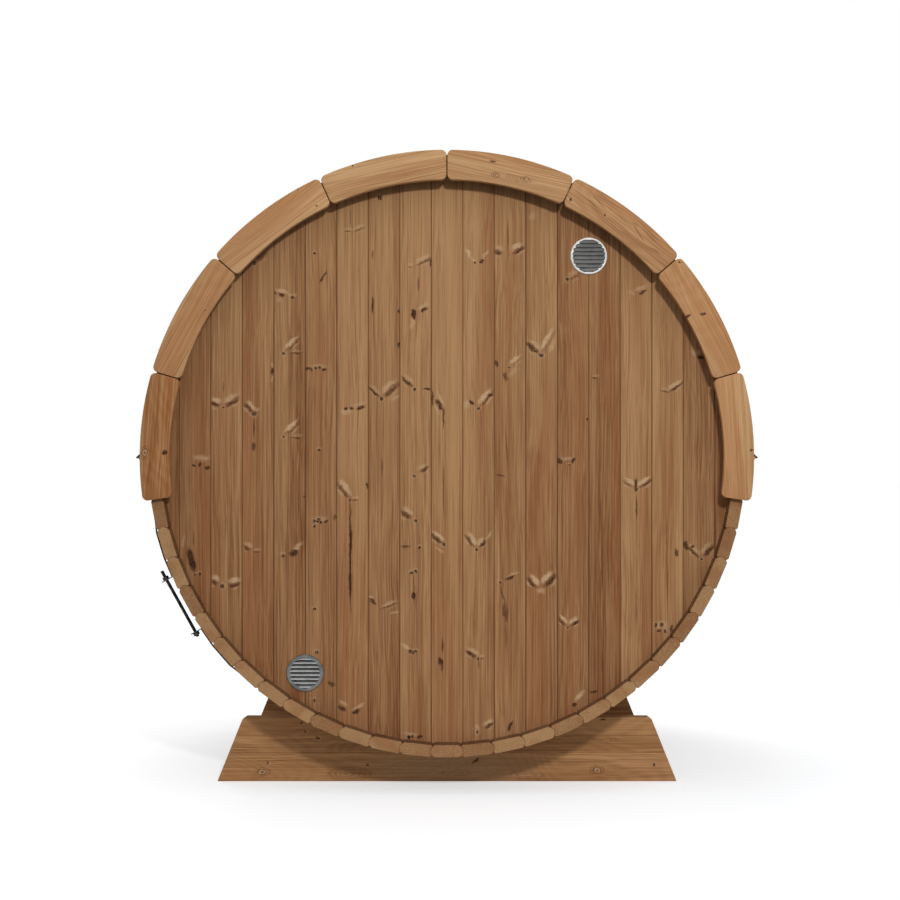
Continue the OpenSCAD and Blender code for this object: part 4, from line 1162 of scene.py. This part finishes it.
# Painted highlight: the lower vent's blades are painted far lighter than the upper vent's, for blades lit
# from above
grey_louvre = coated("grey_louvre", srgb(186, 187, 185), srgb(212, 213, 211), 0.42, 0.2)
plain("door_hinges", "door_strap_hinges", black, HINGE_EASE)
for end_name in ("rear", "front"):
    plain(end_name + "_band", end_name + "_strap", strap)
    tensioner(end_name, black)
plain("upper_vent_ring", "upper_vent_frame", white)
vent_blades("upper_vent_louvres", "upper_vent_blades", dark_louvre, grey)
plain("lower_vent_ring", "lower_vent_frame", grey)
vent_blades("lower_vent_louvres", "lower_vent_blades", grey_louvre, grey)


# Stage: a pale floor that keeps the shadow, a white surround, and soft studio light
def shown_straight(graph):
    """1 for a ray that shows the stage to the camera, straight or by a mirror or glass."""
    path = graph.add("ShaderNodeLightPath", {}, "Is Camera Ray")
    outputs = path.node.outputs
    mirrored = graph.math("MAXIMUM", outputs["Is Glossy Ray"], outputs["Is Transmission Ray"])
    return graph.math("MAXIMUM", path, mirrored)


FLOOR_HALF = 60.0
NEAR_COLOUR = (0.64, 0.66, 0.68, 1)
FAR_COLOUR = (0.12, 0.12, 0.12, 1)
NEAR_LIFT = 0.49
FAR_LIFT = 0.92
NEAR_DISTANCE = 1.4
FAR_DISTANCE = 3.2
DOME = 0.68

floor_mesh = bpy.data.meshes.new("floor")
corners = [(x * FLOOR_HALF, y * FLOOR_HALF, 0) for x, y in ((-1, -1), (1, -1), (1, 1), (-1, 1))]
floor_mesh.from_pydata(corners, [], [(0, 1, 2, 3)])
floor = bpy.data.objects.new("floor", floor_mesh)
scene.collection.objects.link(floor)
floor_material, floor_graph, floor_shader = new_material("floor")
floor_mesh.materials.append(floor_material)
floor_shader.inputs["Roughness"].default_value = 1.0
floor_shader.inputs["Specular IOR Level"].default_value = 0.0
floor_shader.inputs["Emission Color"].default_value = (1, 1, 1, 1)
floor_place = floor_graph.add("ShaderNodeTexCoord", {}, "Object")
floor_distance = floor_graph.vector("LENGTH", floor_place, out=1)
away = floor_graph.span(floor_distance, NEAR_DISTANCE, FAR_DISTANCE)
floor_graph.set(floor_shader.inputs["Base Color"], floor_graph.mix(away, NEAR_COLOUR, FAR_COLOUR))
lift = floor_graph.linear(away, FAR_LIFT - NEAR_LIFT, NEAR_LIFT)
lift = floor_graph.math("MULTIPLY", shown_straight(floor_graph), lift)
floor_graph.set(floor_shader.inputs["Emission Strength"], lift)

world = bpy.data.worlds.new("studio")
world.use_nodes = True
scene.world = world
world_graph = Graph(world.node_tree)
background = world.node_tree.nodes["Background"]
background.inputs["Color"].default_value = (1, 1, 1, 1)
strength = world_graph.linear(shown_straight(world_graph), 1 - DOME, DOME)
world_graph.set(background.inputs["Strength"], strength)


def area_light(name, azimuth, elevation, distance, size, power):
    """A square lamp that looks at the middle of the rear end. Azimuth 0 is straight in front of it."""
    target = Vector((0, -END_Y, AXIS_Z))
    a, e = math.radians(azimuth), math.radians(elevation)
    back = Vector((math.sin(a) * math.cos(e), -math.cos(a) * math.cos(e), math.sin(e)))
    data = bpy.data.lights.new(name, "AREA")
    data.shape = "SQUARE"
    data.size = size
    data.energy = power
    lamp = bpy.data.objects.new(name, data)
    lamp.location = target + back * distance
    lamp.rotation_mode = "QUATERNION"
    lamp.rotation_quaternion = (-back).to_track_quat("-Z", "Y")
    lamp.visible_camera = False
    scene.collection.objects.link(lamp)


area_light("key", azimuth=11, elevation=22, distance=6.5, size=0.4, power=186)
area_light("back_fill", azimuth=190, elevation=30, distance=8.0, size=4.0, power=250)
